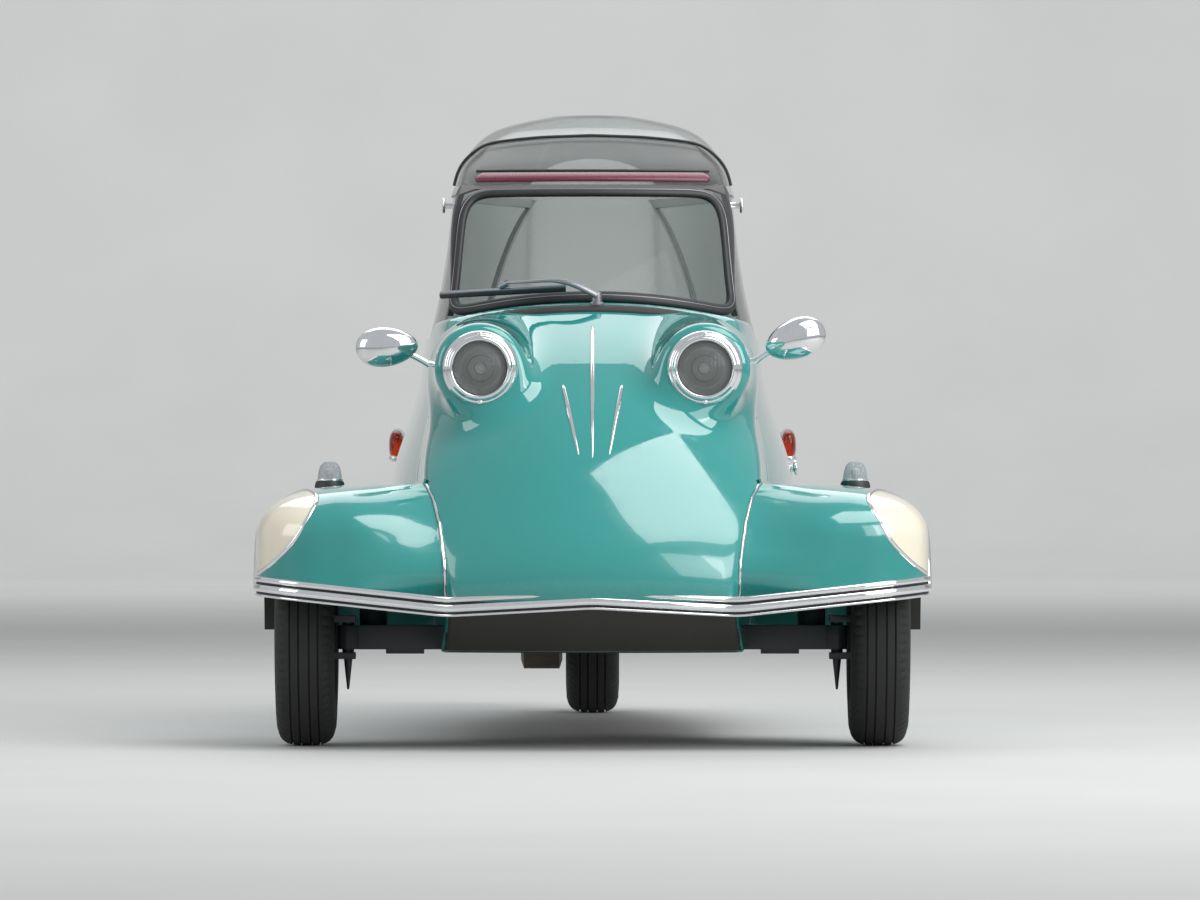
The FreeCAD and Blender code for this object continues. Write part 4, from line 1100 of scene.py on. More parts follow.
def nearest_on(tree, points):
    """Each point moved to the nearest place of a surface, with the normal there."""
    spots, normals = np.zeros((len(points), 3)), np.zeros((len(points), 3))
    for i, point in enumerate(points):
        spot, normal, _, _ = tree.find_nearest(point)
        spots[i], normals[i] = spot, normal
    return spots, normals


def skinned(mesh, rings, closed=False):
    """Faces from each ring of vertices to the next, and from the last to the first if closed."""
    for first, last in zip(rings, rings[1:] + (rings[:1] if closed else [])):
        for j in range(len(first)):
            k = (j + 1) % len(first)
            mesh.faces.new((first[j], first[k], last[k], last[j]))


def sweep(path, ups, section, closed_path=False, scales=None):
    """Carry a section, given as across and up, along a path; ups point away from the surface."""
    path, ups, section = np.asarray(path), np.asarray(ups), np.asarray(section)
    if closed_path:
        tangents = np.roll(path, -1, 0) - np.roll(path, 1, 0)
    else:
        tangents = np.gradient(path, axis=0)
    tangents /= np.linalg.norm(tangents, axis=1, keepdims=True)
    ups = ups - np.sum(ups * tangents, 1, keepdims=True) * tangents
    ups /= np.linalg.norm(ups, axis=1, keepdims=True)
    across = np.cross(tangents, ups)
    scales = np.ones(len(path)) if scales is None else np.asarray(scales)
    mesh = bmesh.new()
    rings = []
    for spot, side, up, scale in zip(path, across, ups, scales):
        rings.append([mesh.verts.new(spot + scale * (a * side + b * up)) for a, b in section])
    skinned(mesh, rings, closed_path)
    if not closed_path:
        mesh.faces.new(rings[0])
        mesh.faces.new(rings[-1][::-1])
    bmesh.ops.recalc_face_normals(mesh, faces=mesh.faces)
    return mesh


def round_section(radius, steps=14, squash=1.0):
    return [(radius * math.cos(2 * math.pi * i / steps), squash * radius * math.sin(2 * math.pi * i / steps))
            for i in range(steps)]


def smoothed_rows(values, reach):
    """Moving average of rows, with the ends kept."""
    weights = np.ones(2 * reach + 1) / (2 * reach + 1)
    padded = np.pad(values, ((reach, reach), (0, 0)), mode="edge")
    return np.stack([np.convolve(padded[:, i], weights, "valid") for i in range(values.shape[1])], 1)


def mirrored(mesh):
    """The same mesh on the other side of the car."""
    other = mesh.copy()
    for vert in other.verts:
        vert.co.x = -vert.co.x
    bmesh.ops.reverse_faces(other, faces=other.faces)
    return other


def joined(*meshes):
    """Several meshes in one, their material numbers kept."""
    made = bmesh.new()
    for mesh in meshes:
        scratch = bpy.data.meshes.new("scratch")
        mesh.to_mesh(scratch)
        mesh.free()
        made.from_mesh(scratch)
        bpy.data.meshes.remove(scratch)
    return made


wing_skin = wing_mesh()
wing_tree = BVHTree.FromBMesh(wing_skin)
flash_path, flash_ups = nearest_on(wing_tree, spline_points(FLASH_EDGE, 160))
flash_path = smoothed_rows(flash_path, 4)
flash_ups = smoothed_rows(smoothed_rows(flash_ups, 8), 8)


def colour_flash(mesh):
    """Give the cream to the faces on the outer side of the flash's edge."""
    path = flash_path
    tree = BVHTree.FromPolygons([tuple(p) for p in np.vstack([path, path + (0, 0, 1e-4)])],
                                [(i, i + 1, i + 1 + len(path)) for i in range(len(path) - 1)])
    for face in mesh.faces:
        spot = face.calc_center_median()
        face.material_index = 0
        if spot.x < 0.50 or spot.y > -0.70:
            continue
        near, _, index, _ = tree.find_nearest(spot)
        along = Vector(path[min(index + 1, len(path) - 1)] - path[index])
        side = along.cross(Vector(flash_ups[index])).dot(spot - near)
        face.material_index = 1 if side > 0 else 0


colour_flash(wing_skin)
wing_skin = fold_edges(wing_skin, LIP, 0.010)
finished("wing_left_skin", wing_skin.copy(), (wing_paint, cream), "body", ["wing_left"])
finished("wing_right_skin", mirrored(wing_skin), (wing_paint, cream), "body", ["wing_right"])

STRIP = [(-0.0042, -0.001), (-0.0036, 0.0016), (-0.0016, 0.0032), (0.0016, 0.0032), (0.0036, 0.0016),
         (0.0042, -0.001)]
strip = sweep(flash_path, flash_ups, STRIP)
finished("flash_strips", joined(strip.copy(), mirrored(strip)), chrome, "body", angle=60)


# %% [markdown]
# ## Seams, arch lips and the front moulding
# Where a wing meets the nose, a bead of bright trim sits in a black rubber
# piping. Chromed half-round edges finish the wheel arches. The big moulding
# across the front is one rolled section: a narrow ridge, a wide band and
# a top ridge, with two black grooves between them.

# %% Bead along the seam of wing and nose
def seam_path():
    """Front edge going up, the side of the nose going back, and the rear edge going down."""
    front, rear = [], []
    walls = [i for i in range(wing_points.shape[0]) if wing_points[i, 0, 2] < WING_TOP - 0.0005]
    for i in walls:
        gap = wing_gaps[i]
        for store, order in ((rear, range(1, 160)), (front, range(len(gap) - 2, 50, -1))):
            before = 1 if store is front else -1
            for k in order:
                if gap[k] > 0 >= gap[k + before]:
                    share = gap[k] / (gap[k] - gap[k + before])
                    spot = wing_points[i, k] + share * (wing_points[i, k + before] - wing_points[i, k])
                    store.append(spot)
                    break
    front = [p for p in front if p[2] > moulding_low(p[0]) + 0.030]
    levels = hull_grid[:, 0, 2]
    row = int(np.argmax(levels > WING_TOP))
    share = (WING_TOP - levels[row - 1]) / (levels[row] - levels[row - 1])
    ring = hull_grid[row - 1] + share * (hull_grid[row] - hull_grid[row - 1])
    side = [p for p in ring if p[0] > 0 and front[-1][1] + 0.004 < p[1] < rear[-1][1] - 0.004]
    side = sorted(side, key=lambda p: p[1])
    path = resampled(np.array(front + side + rear[::-1]), 300, closed=False)
    return smoothed_rows(path, 2)


seam = seam_path()
_, seam_ways = hull_distance(seam)
_, wing_ways = nearest_on(wing_tree, seam)
seam_ups = smoothed_rows(seam_ways + wing_ways, 5)
piping = sweep(seam - 0.001 * seam_ups, seam_ups, round_section(0.0052, 12, 0.7))
bead = sweep(seam + 0.0022 * seam_ups / np.linalg.norm(seam_ups, axis=1, keepdims=True), seam_ups,
             round_section(0.0027, 12))
finished("wing_seam_piping", joined(piping.copy(), mirrored(piping)), black_rubber, "body", angle=70)
finished("wing_seam_beads", joined(bead.copy(), mirrored(bead)), chrome, "body", angle=70)


# %% Bright lip of the wheel arches, and the dark flange behind it
turns = np.linspace(math.radians(148), math.radians(9.5), 110)
lip_radius = ARCH_RADIUS + 0.0025
arch_path = np.column_stack([np.full(len(turns), WING_OUT + 0.0002), AXLE + lip_radius * np.cos(turns),
                             ARCH_HEIGHT + lip_radius * np.sin(turns)])
sideways = np.tile((1.0, 0.0, 0.0), (len(turns), 1))
bright = int(np.argmax(turns < math.radians(34)))
lip = sweep(arch_path[:bright], sideways[:bright], round_section(0.0060, 12, 0.9))
flange = sweep(arch_path, sideways, [(-0.0010, -0.0280), (0.0010, -0.0280), (0.0010, 0.0), (-0.0010, 0.0)])
finished("arch_flanges", joined(flange.copy(), mirrored(flange)), under_paint, "body", angle=70)
finished("arch_lips", joined(lip.copy(), mirrored(lip)), chrome, "body", angle=70)


# %% The three-ridge moulding
def moulding_path():
    """Plan of the front of wings and nose at the moulding's height, from right to left of the picture."""
    plan = wing_plan(0)[::-1]
    right = plan[(plan[:, 1] < -1.195) & (plan[:, 0] > 0.262)]
    ring = hull_grid[int(np.argmax(hull_grid[:, 0, 2] > 0.262))][:, :2]
    nose_front = ring[(np.abs(ring[:, 0]) < 0.250) & (ring[:, 1] < -1.2)]
    nose_front = nose_front[np.argsort(-nose_front[:, 0])]
    outline = np.vstack([right[::-1], nose_front, right * (-1, 1)])
    path = resampled(outline, 420, closed=False)
    return smoothed_rows(path, 5)


# height from the lower edge, stand-off, and 1 where the rubber-lined groove is
RIDGES = [(0.0, -1.5, 0), (0.0, 2.2, 0), (1.0, 3.9, 0), (2.5, 4.4, 0), (4.0, 3.9, 0), (5.0, 2.2, 1),
          (5.4, 1.0, 1),
          (8.1, 1.0, 1), (8.5, 3.0, 0), (9.4, 5.0, 0), (11.5, 6.2, 0), (15.5, 6.8, 0), (19.5, 6.2, 0),
          (21.6, 5.0, 0),
          (22.5, 3.0, 1), (22.9, 1.0, 1), (25.6, 1.0, 1), (26.0, 2.8, 0), (27.0, 4.8, 0), (29.0, 6.0, 0),
          (31.5, 6.4, 0), (34.0, 5.8, 0), (36.0, 4.4, 0), (37.0, 2.2, 0), (37.0, -1.5, 0)]
plan = moulding_path()
lower = smoothed_rows(moulding_low(plan[:, 0])[:, None], 6)[:, 0]
rail = np.column_stack([plan, lower])
flat = np.gradient(plan, axis=0)
outward = np.column_stack([-flat[:, 1], flat[:, 0], np.zeros(len(flat))])
if outward[len(outward) // 2][1] > 0:
    outward = -outward
section = [(h / 1000, out / 1000) for h, out, _ in RIDGES]


def rail_mesh():
    """The section carried along the rail, always upright."""
    ways = outward / np.linalg.norm(outward, axis=1, keepdims=True)
    mesh = bmesh.new()
    rings = [[mesh.verts.new(spot + (0, 0, h) + out * way) for h, out in section] for spot,
             way in zip(rail, ways)]
    for first, last in zip(rings, rings[1:]):
        for j in range(len(section)):
            k = (j + 1) % len(section)
            face = mesh.faces.new((first[j], first[k], last[k], last[j]))
            face.material_index = RIDGES[j][2]
    mesh.faces.new(rings[0][::-1])
    mesh.faces.new(rings[-1])
    bmesh.ops.recalc_face_normals(mesh, faces=mesh.faces)
    return mesh


finished("moulding_rail", rail_mesh(), (chrome, black_rubber), "body", ["front_moulding"], angle=50)


# %% [markdown]
# ## Spears on the nose
# Three chromed spears run down the nose. Each is a half-round bar that
# swells near its top and runs out to a point at both ends, and each follows the
# curve of the steel below it.

# %% Three spears
def before_nose(x, z):
    """Where a line from straight ahead meets the nose, with the normal there."""
    spot, normal, _, _ = nose_tree.ray_cast(Vector((x, -3, z)), Vector((0, 1, 0)))
    return spot, normal


def spear(top, foot, half):
    shares = np.linspace(0, 1, 70)
    hits = [before_nose(top[0] + (foot[0] - top[0]) * s, top[1] + (foot[1] - top[1]) * s) for s in shares]
    spots = smoothed_rows(np.array([h[0] for h in hits]), 3)
    ways = smoothed_rows(np.array([h[1] for h in hits]), 3)
    swell = np.interp(shares, [0, 0.06, 0.30, 0.7, 0.94, 1], [0.3, 0.8, 1.0, 0.72, 0.42, 0.12])
    profile = [(half * math.cos(t), 0.8 * half * math.sin(t)) for t in np.linspace(-0.25, math.pi + 0.25, 15)]
    return sweep(spots, ways, profile, scales=swell)


spears = [spear((0.0, 0.776), (0.0, 0.527), 0.0046), spear((-0.054, 0.663), (-0.0245, 0.534), 0.0044),
          spear((0.054, 0.663), (0.0305, 0.534), 0.0044)]
finished("spear_bars", joined(*spears), chrome, "body", ["nose_spears"], angle=70)


# %% [markdown]
# ## Lamps
# A headlamp is a mirror bowl behind a domed glass, held by a stepped chrome
# rim with a screw at the top and bottom. The glass is moulded with upright flutes
# that spread the beam. All round parts are turned on a lathe: we give the
# outline as distance and radius, and spin it.

# %% A lathe
def lathe(stations, place, along, steps=96, ribs=0, rib_depth=0.0, hollow=False):
    """Turned mesh: stations are distance and radius, along points the way distances grow.

    The outline of a hollow ring closes on itself, and any other has flat ends.
    """
    along = Vector(along).normalized()
    turn = along.to_track_quat("Z", "Y").to_matrix()
    mesh = bmesh.new()
    rings = []
    for distance, radius in stations:
        ring = []
        for i in range(steps):
            angle = 2 * math.pi * i / steps
            r = radius + (rib_depth * math.cos(ribs * angle)
                          if ribs and radius > 0.3 * stations[0][1] else 0.0)
            ring.append(mesh.verts.new(Vector(place)
                                       + turn @ Vector((r * math.cos(angle), r * math.sin(angle),
                                                                      distance))))
        rings.append(ring)
    skinned(mesh, rings, hollow)
    if not hollow:
        mesh.faces.new(rings[0])
        mesh.faces.new(rings[-1])
        bmesh.ops.remove_doubles(mesh, verts=mesh.verts, dist=1e-6)
    bmesh.ops.recalc_face_normals(mesh, faces=mesh.faces)
    return mesh


def rounded(stations, rounds=2):
    """Cut the corners of an outline twice, so turned parts catch the light softly."""
    points = np.array(stations, float)
    for _ in range(rounds):
        middle = [0.8 * a + 0.2 * b for a, b in zip(points, points[1:])]
        after = [0.2 * a + 0.8 * b for a, b in zip(points, points[1:])]
        points = np.array([points[0]] + [p for pair in zip(middle, after) for p in pair] + [points[-1]])
    return [tuple(p) for p in points]


def both(mesh):
    """A mesh and its mirror image in one."""
    return joined(mesh.copy(), mirrored(mesh))


LAMP = (LAMP_X, LAMP_FACE, LAMP_Z)
AHEAD, ASTERN, UP = (0, -1, 0), (0, 1, 0), (0, 0, 1)
RIM_OUTLINE = [(-0.012, 0.0655), (-0.004, 0.0690), (0.003, 0.0690), (0.009, 0.0665), (0.0125, 0.0630),
               (0.0125, 0.0605), (0.0150, 0.0595), (0.0195, 0.0560), (0.0205, 0.0530), (0.0195, 0.0505),
               (0.0150, 0.0490), (0.0080, 0.0488), (0.0040, 0.0495), (-0.010, 0.0600)]


def at_lamp(distance, x=0.0, z=0.0):
    return (LAMP[0] + x, LAMP[1] - distance, LAMP[2] + z)


rim_ring = lathe(rounded(RIM_OUTLINE), LAMP, AHEAD, hollow=True)
rim_screws = [lathe([(0, 0.0042), (0.0018, 0.0040), (0.0028, 0.0026), (0.003, 0.0002)], at_lamp(0.0122, z=up),
                    AHEAD, 20)
              for up in (0.0618, -0.0618)]
finished("lamp_rims", both(joined(rim_ring, *rim_screws)), chrome, "body", ["headlamp_rims"])

bowl = [(-0.052, 0.0005), (-0.052, 0.012)]
bowl += [(-0.052 + 0.058 * s, 0.012 + 0.0375 * math.sqrt(s)) for s in np.linspace(0.02, 1, 26)]
bowl += [(0.006, 0.0510), (-0.052, 0.020)]
finished("lamp_bowls", both(lathe(bowl, LAMP, AHEAD, 72)), reflector, "body")
bulb = lathe([(-0.052, 0.011), (-0.040, 0.011), (-0.039, 0.008), (-0.030, 0.0085), (-0.020, 0.006),
              (-0.018, 0.001)],
             LAMP, AHEAD, 24)
finished("lamp_bulbs", both(bulb), frosted, "body")


# %% Fluted headlamp glass
def lamp_glass():
    """Domed glass with upright flutes inside a plain border."""
    radius, steps = 0.0492, 60
    mesh = bmesh.new()
    grid = {}
    for i in range(-steps, steps + 1):
        for k in range(-24, 25):
            x, z = radius * i / steps, radius * k / 24
            length = math.hypot(x, z)
            if length > radius:
                x, z = x * radius / length, z * radius / length
            dome = 0.024 - 0.016 * (min(length, radius) / radius) ** 2
            flute = 0.0005 * abs(math.sin(math.pi * x / 0.0068)) if length < 0.043 else 0.0
            grid[i, k] = mesh.verts.new(at_lamp(dome + flute, x, z))
    for i in range(-steps, steps):
        for k in range(-24, 24):
            corners = [grid[i, k], grid[i + 1, k], grid[i + 1, k + 1], grid[i, k + 1]]
            mesh.faces.new(corners)
    bmesh.ops.remove_doubles(mesh, verts=mesh.verts, dist=1e-6)
    bmesh.ops.dissolve_degenerate(mesh, edges=mesh.edges, dist=1e-6)
    for face in mesh.faces:
        if face.normal.y > 0:
            face.normal_flip()
    bmesh.ops.solidify(mesh, geom=mesh.faces, thickness=0.0025)
    return mesh


finished("lamp_glasses", both(lamp_glass()), lamp_clear, "body", ["headlamp_lenses"], angle=50)


# %% [markdown]
# ## Marker, side and tail lamps
# Small parking lamps stand on the wings, each a ribbed clear dome on a rubber
# base. Round the corner of the body an oval turn lamp glows orange, and two red
# lamps look back.

# %% Small lamps
MARKER = (0.483, -1.030, 0.473)
base = [(-0.012, 0.0285), (0.006, 0.0275), (0.011, 0.0262), (0.0135, 0.0245), (0.0140, 0.0225),
        (0.015, 0.0005)]
finished("marker_bases", both(lathe(base, MARKER, UP, 48)), black_rubber, "body", ["marker_lamp_bases"])
collar_line = [(0.0142, 0.0236), (0.0150, 0.0240), (0.0172, 0.0236), (0.0178, 0.0222), (0.0142, 0.0218)]
collar = lathe(collar_line, MARKER, UP, 60, hollow=True)
finished("marker_collars", both(collar), chrome, "body")
dome_line = [(0.0145, 0.0216), (0.022, 0.0214), (0.030, 0.0203), (0.038, 0.0183), (0.044, 0.0150),
             (0.0485, 0.0095),
             (0.0500, 0.0040), (0.0502, 0.0002)]
finished("marker_domes", both(lathe(rounded(dome_line), MARKER, UP, 144, 24, 0.0006)), marker_glass, "body",
         ["marker_lamp_lenses"], angle=60)
core = lathe([(0.015, 0.006), (0.024, 0.006), (0.025, 0.0085), (0.034, 0.0085), (0.038, 0.003)], MARKER, UP,
             24)
finished("marker_bulbs", both(core), frosted, "body")


def oval_lamp(place, width, height, depth, power=2.4, steps=72, rows=22):
    """Half of a soft-cornered oval that bulges ahead, made of rings that shrink."""
    mesh = bmesh.new()
    rings = []
    for row in range(rows):
        lean = math.pi / 2 * row / (rows - 1)
        size, out = math.cos(lean) ** 0.7 if row < rows - 1 else 0.004, math.sin(lean)
        ring = []
        for i in range(steps):
            angle = 2 * math.pi * i / steps
            c, s = math.cos(angle), math.sin(angle)
            x = math.copysign(abs(c) ** (2 / power), c) * width / 2 * size
            z = math.copysign(abs(s) ** (2 / power), s) * height / 2 * size
            ring.append(mesh.verts.new((place[0] + x, place[1] - depth * out, place[2] + z)))
        rings.append(ring)
    skinned(mesh, rings)
    mesh.faces.new(rings[0])
    mesh.faces.new(rings[-1])
    bmesh.ops.recalc_face_normals(mesh, faces=mesh.faces)
    return mesh


SIDE_LAMP = (0.389, 0.310, 0.551)
finished("side_lamp_lenses", both(oval_lamp(SIDE_LAMP, 0.029, 0.060, 0.026)), orange_plastic, "body",
         ["side_lamps"])
holder = oval_lamp((SIDE_LAMP[0] - 0.002, SIDE_LAMP[1] + 0.001, SIDE_LAMP[2]), 0.035, 0.067, -0.034)
holder_foot = lathe([(-0.045, 0.020), (0.004, 0.014), (0.010, 0.012)], (0.366, 0.322, 0.551), (1, 0, 0), 40)
side_cap = oval_lamp((SIDE_LAMP[0], SIDE_LAMP[1] + 0.001, SIDE_LAMP[2] - 0.025), 0.0305, 0.016, 0.027)
finished("side_lamp_holders", both(joined(holder, holder_foot, side_cap)), chrome, "body")
TAIL_LAMP = (0.086, 1.330, 0.478)
bezel_line = [(0.036, 0.0275), (0.046, 0.0290), (0.049, 0.0280), (0.050, 0.0255), (0.046, 0.0245)]
bezel = lathe(bezel_line, TAIL_LAMP, ASTERN, 60, hollow=True)
finished("tail_bezels", both(bezel), chrome, "body")
tail_glass = [(0.0, 0.0250), (0.046, 0.0250), (0.051, 0.0225), (0.0540, 0.0150), (0.0550, 0.0060),
              (0.0552, 0.0002)]
finished("tail_glasses", both(lathe(rounded(tail_glass), TAIL_LAMP, ASTERN, 60)), red_plastic, "body",
         ["tail_lamps"])


# %% [markdown]
# ## Mirrors
# Two chrome mirrors stand out on tapered stalks. A head is an egg with its
# blunt end outboard and the glass on its flat back. The two are not set quite
# alike, as on any car whose owner has turned them by hand.

# %% Mirror heads, stalks and feet
def mirror(name, node, side, head, size, tilt, foot):
    """Egg shell, flat glass, stalk and ridged foot of one mirror."""
    half_width, half_height = size
    turn = Matrix.Rotation(-side * tilt, 3, "Y")
    mesh = bmesh.new()
    rings = []
    for row in range(21):
        lean = math.pi / 2 * row / 20
        shrink, out = max(math.cos(lean), 0.003), math.sin(lean)
        ring = []
        for angle in np.linspace(0, 2 * math.pi, 72, endpoint=False):
            x = math.cos(angle)
            fat = 1.0 + 0.16 * side * x
            local = Vector((half_width * x * shrink, -0.030 * out,
                            half_height * math.sin(angle) * fat * shrink))
            ring.append(mesh.verts.new(Vector(head) + turn @ local))
        rings.append(ring)
    back = [mesh.verts.new(v.co + Vector((0, 0.006, 0))) for v in rings[0]]
    rings.insert(0, back)
    skinned(mesh, rings)
    mesh.faces.new(rings[-1])
    glass = mesh.faces.new(rings[0])
    bmesh.ops.inset_individual(mesh, faces=[glass], thickness=0.004)
    bmesh.ops.inset_individual(mesh, faces=[glass], thickness=0.0005, depth=-0.002)
    foot, centre = Vector(foot), Vector(head)
    way = centre - foot
    stalk = sweep([foot + way * s + Vector((0, 0, 0.006 * math.sin(math.pi * s)))
                   for s in np.linspace(0, 0.96, 14)],
                  np.tile((0.0, 1.0, 0.0), (14, 1)), round_section(0.0062, 16),
                  scales=np.interp(np.linspace(0, 1, 14), [0, 0.25, 1], [1.5, 1.0, 0.8]))
    ridges = [(-0.012, 0.0170), (-0.004, 0.0170), (-0.002, 0.0150), (0.000, 0.0160), (0.002, 0.0145),
              (0.004, 0.0150), (0.006, 0.0130), (0.009, 0.0120), (0.013, 0.0095)]
    base = lathe(rounded(ridges, 1), foot, (side, 0, 0.1), 48)
    bmesh.ops.recalc_face_normals(mesh, faces=mesh.faces)
    finished(name, joined(mesh, stalk, base), chrome, "body", [node], angle=50)


mirror("mirror_plus_x", "mirror_left", 1, (0.375, -0.947, 0.748), (0.0575, 0.0375), math.radians(20),
       (0.284, -0.935, 0.694))
mirror("mirror_minus_x", "mirror_right", -1, (-0.380, -0.947, 0.734), (0.0575, 0.0365), math.radians(-3),
       (-0.284, -0.935, 0.690))


# %% [markdown]
# ## Windscreen, dome and their rubbers
# Windscreen, side windows and dome are parts of one smooth surface. We cut each
# pane out of it, and lay a black rubber round the windscreen with a bright
# filler bead in it, which locks the rubber on the real car.

# %% The glazing's surface
glazing_grid = ring_grid(GLAZING, glazing_ring, 300, 60)
GLASS = 0.005


def with_cap(grid, rise=0.003, rings=8):
    """Close the top with shrinking rings that rise a little."""
    middle = grid[-1].mean(axis=0)
    extra = []
    for share in np.linspace(0, 1, rings + 1)[1:]:
        ring = grid[-1] + (middle - grid[-1]) * share
        ring[:, 2] = grid[-1, 0, 2] + rise * (1 - (1 - share) ** 2)
        extra.append(ring)
    return np.concatenate([grid, extra])


glazing_full = with_cap(glazing_grid)
glazing_tree = BVHTree.FromBMesh(grid_mesh(glazing_full))


def moved_in(mesh, depth):
    """Every vertex set back along its normal."""
    mesh.normal_update()
    shifts = [(vert, vert.co - depth * vert.normal) for vert in mesh.verts]
    for vert, spot in shifts:
        vert.co = spot
    return mesh


def pane(name, zone):
    """Sheet cut from the glazing by a side view."""
    mesh = grid_mesh(glazing_full)
    bmesh.ops.remove_doubles(mesh, verts=mesh.verts, dist=1e-5)
    mesh = keep_zone(mesh, zone)
    print(name, "cut")
    return mesh


def thick(mesh):
    """The sheet with its inner face and its rounded edge."""
    return fold_edges(mesh, 0.0008, GLASS)


SCREEN_TOP = 1.0285
POST_FOOT, POST_BEND, POST_TOP = -0.7275, 0.780, -0.5735
screen = pane("windscreen", [(-1.0, 0.70), (POST_FOOT, 0.70), (POST_FOOT, POST_BEND), (POST_TOP, SCREEN_TOP),
                             (-1.0, SCREEN_TOP)])
middles = face_middles(screen)
screen.faces.ensure_lookup_table()
low_part = np.nonzero(middles[:, 2] < crown_height(middles[:, 0]) + 0.004)[0]
bmesh.ops.delete(screen, geom=[screen.faces[i] for i in low_part], context="FACES")
finished("windscreen_pane", thick(screen), window_glass, "canopy", ["windscreen_glass"])
side_zone = [(-0.716, 0.753), (0.500, 0.753), (0.500, 1.028), (-0.532, 1.028), (-0.690, 0.820)]
finished("side_panes", thick(pane("side windows", side_zone)), window_glass, "canopy", ["side_windows"])
dome_mesh = pane("dome", [(-1.0, 1.044), (0.514, 1.044), (0.514, 0.755), (1.1, 0.755), (1.1, 1.3),
                          (-1.0, 1.3)])
finished("dome_blown", thick(dome_mesh), dome_acrylic, "canopy", ["dome"])


# %% Rubber round the windscreen
def level_ring(height):
    """The glazing's outline at one height."""
    levels = glazing_grid[:, 0, 2]
    row = int(np.argmax(levels > height))
    share = (height - levels[row - 1]) / (levels[row] - levels[row - 1])
    return glazing_grid[row - 1] + share * (glazing_grid[row] - glazing_grid[row - 1])


def screen_loop():
    """Closed path round the windscreen on the glazing, seen from ahead going round."""
    top = level_ring(SCREEN_TOP)
    top = top[top[:, 1] < POST_TOP]
    top = top[np.argsort(top[:, 0])]
    bottom, sides = [], []
    for line in glazing_grid.transpose(1, 0, 2):
        rise = line[:, 2] - crown_height(line[:, 0]) - 0.0105
        i = int(np.argmax(rise > 0))
        spot = line[i - 1] + (line[i] - line[i - 1]) * rise[i - 1] / (rise[i - 1] - rise[i])
        if spot[1] < POST_FOOT - 0.0015:
            bottom.append(spot)
    bottom = np.array(sorted(bottom, key=lambda p: p[0]))
    for z in np.linspace(bottom[-1][2], SCREEN_TOP, 40)[1:-1]:
        place = max(POST_FOOT, POST_FOOT + (z - POST_BEND) * 0.6186)
        ring = level_ring(z)
        right = ring[(ring[:, 0] > 0) & (ring[:, 1] < -0.2)]
        right = right[np.argsort(right[:, 1])]
        sides.append((np.interp(place, right[:, 1], right[:, 0]), place, z))
    sides = np.array(sides)
    loop = np.vstack([bottom, sides, top[::-1], sides[::-1] * (-1, 1, 1)])
    return resampled(loop, 420)


def periodic(values, reach):
    """Rows of a closed path, smoothed over a reach."""
    weights = np.exp(-0.5 * (np.arange(-3 * reach, 3 * reach + 1) / reach) ** 2)
    padded = np.vstack([values[-3 * reach:], values, values[:3 * reach]])
    return np.stack([np.convolve(padded[:, i], weights / weights.sum(), "valid")
                     for i in range(values.shape[1])], 1)


loop, loop_ups = nearest_on(glazing_tree, periodic(screen_loop(), 6))
loop, loop_ups = periodic(loop, 3), periodic(loop_ups, 5)
SEAL = [(-0.0098, -0.0045), (-0.0108, 0.0005), (-0.0095, 0.0040), (-0.0062, 0.0062), (-0.0020, 0.0070),
        (0.0020, 0.0068), (0.0062, 0.0058), (0.0095, 0.0036), (0.0106, 0.0005), (0.0098, -0.0045)]
finished("screen_rubber", sweep(loop, loop_ups, SEAL, closed_path=True), black_rubber, "canopy",
         ["windscreen_seal"], angle=60)
FILLER = [(-0.0010, 0.0062), (-0.0008, 0.0074), (0.0, 0.0078), (0.0008, 0.0074), (0.0010, 0.0062)]
finished("screen_filler", sweep(loop, loop_ups, FILLER, closed_path=True), wiper_steel, "canopy", angle=60)


# %% Header rail, hoop and blind
def ring_at(height, half=0.222):
    """Front part of the glazing's outline at one height, from left to right."""
    ring = level_ring(height)
    ring = ring[(np.abs(ring[:, 0]) < half) & (ring[:, 1] < -0.3)]
    return smoothed_rows(resampled(ring[np.argsort(ring[:, 0])], 180, closed=False), 2)


header = ring_at(1.0580)
_, header_ups = nearest_on(glazing_tree, header)
header_ups = smoothed_rows(header_ups, 4)
RAIL = [(-0.0170, -0.001), (-0.0170, 0.0030), (-0.0140, 0.0052), (-0.0075, 0.0068), (0.0, 0.0074),
        (0.0075, 0.0068),
        (0.0140, 0.0052), (0.0170, 0.0030), (0.0170, -0.001)]
ends = np.interp(np.linspace(0, 1, 180), [0, 0.02, 0.98, 1], [0.55, 1, 1, 0.55])
finished("header_strip", sweep(header, header_ups, RAIL, scales=ends), maroon_rail, "canopy", ["header_rail"],
         angle=60)
header_top = ring_at(1.0700, 0.226)
_, top_ups = nearest_on(glazing_tree, header_top)
finished("header_line", sweep(header_top + 0.002 * top_ups, smoothed_rows(top_ups, 4),
                              round_section(0.0026, 10)),
         black_rubber, "canopy", angle=60)


def hoop_path(place=-0.300, low=1.046):
    """Where a cross plane meets the dome, from one side over the top to the other."""
    top = glazing_tree.ray_cast(Vector((0, place, 3)), Vector((0, 0, -1)))[0]
    right = []
    for row in glazing_full:
        side = row[(row[:, 0] >= 0) & (row[:, 1] < 0.05)]
        side = side[np.argsort(side[:, 1])]
        if low < row[0, 2] < top.z - 0.0005 and side[0, 1] < place:
            right.append([np.interp(place, side[:, 1], side[:, 0]), place, row[0, 2]])
    right = np.array(right + [list(top)])
    return resampled(np.vstack([right, right[-2::-1] * (-1, 1, 1)]), 200, closed=False)


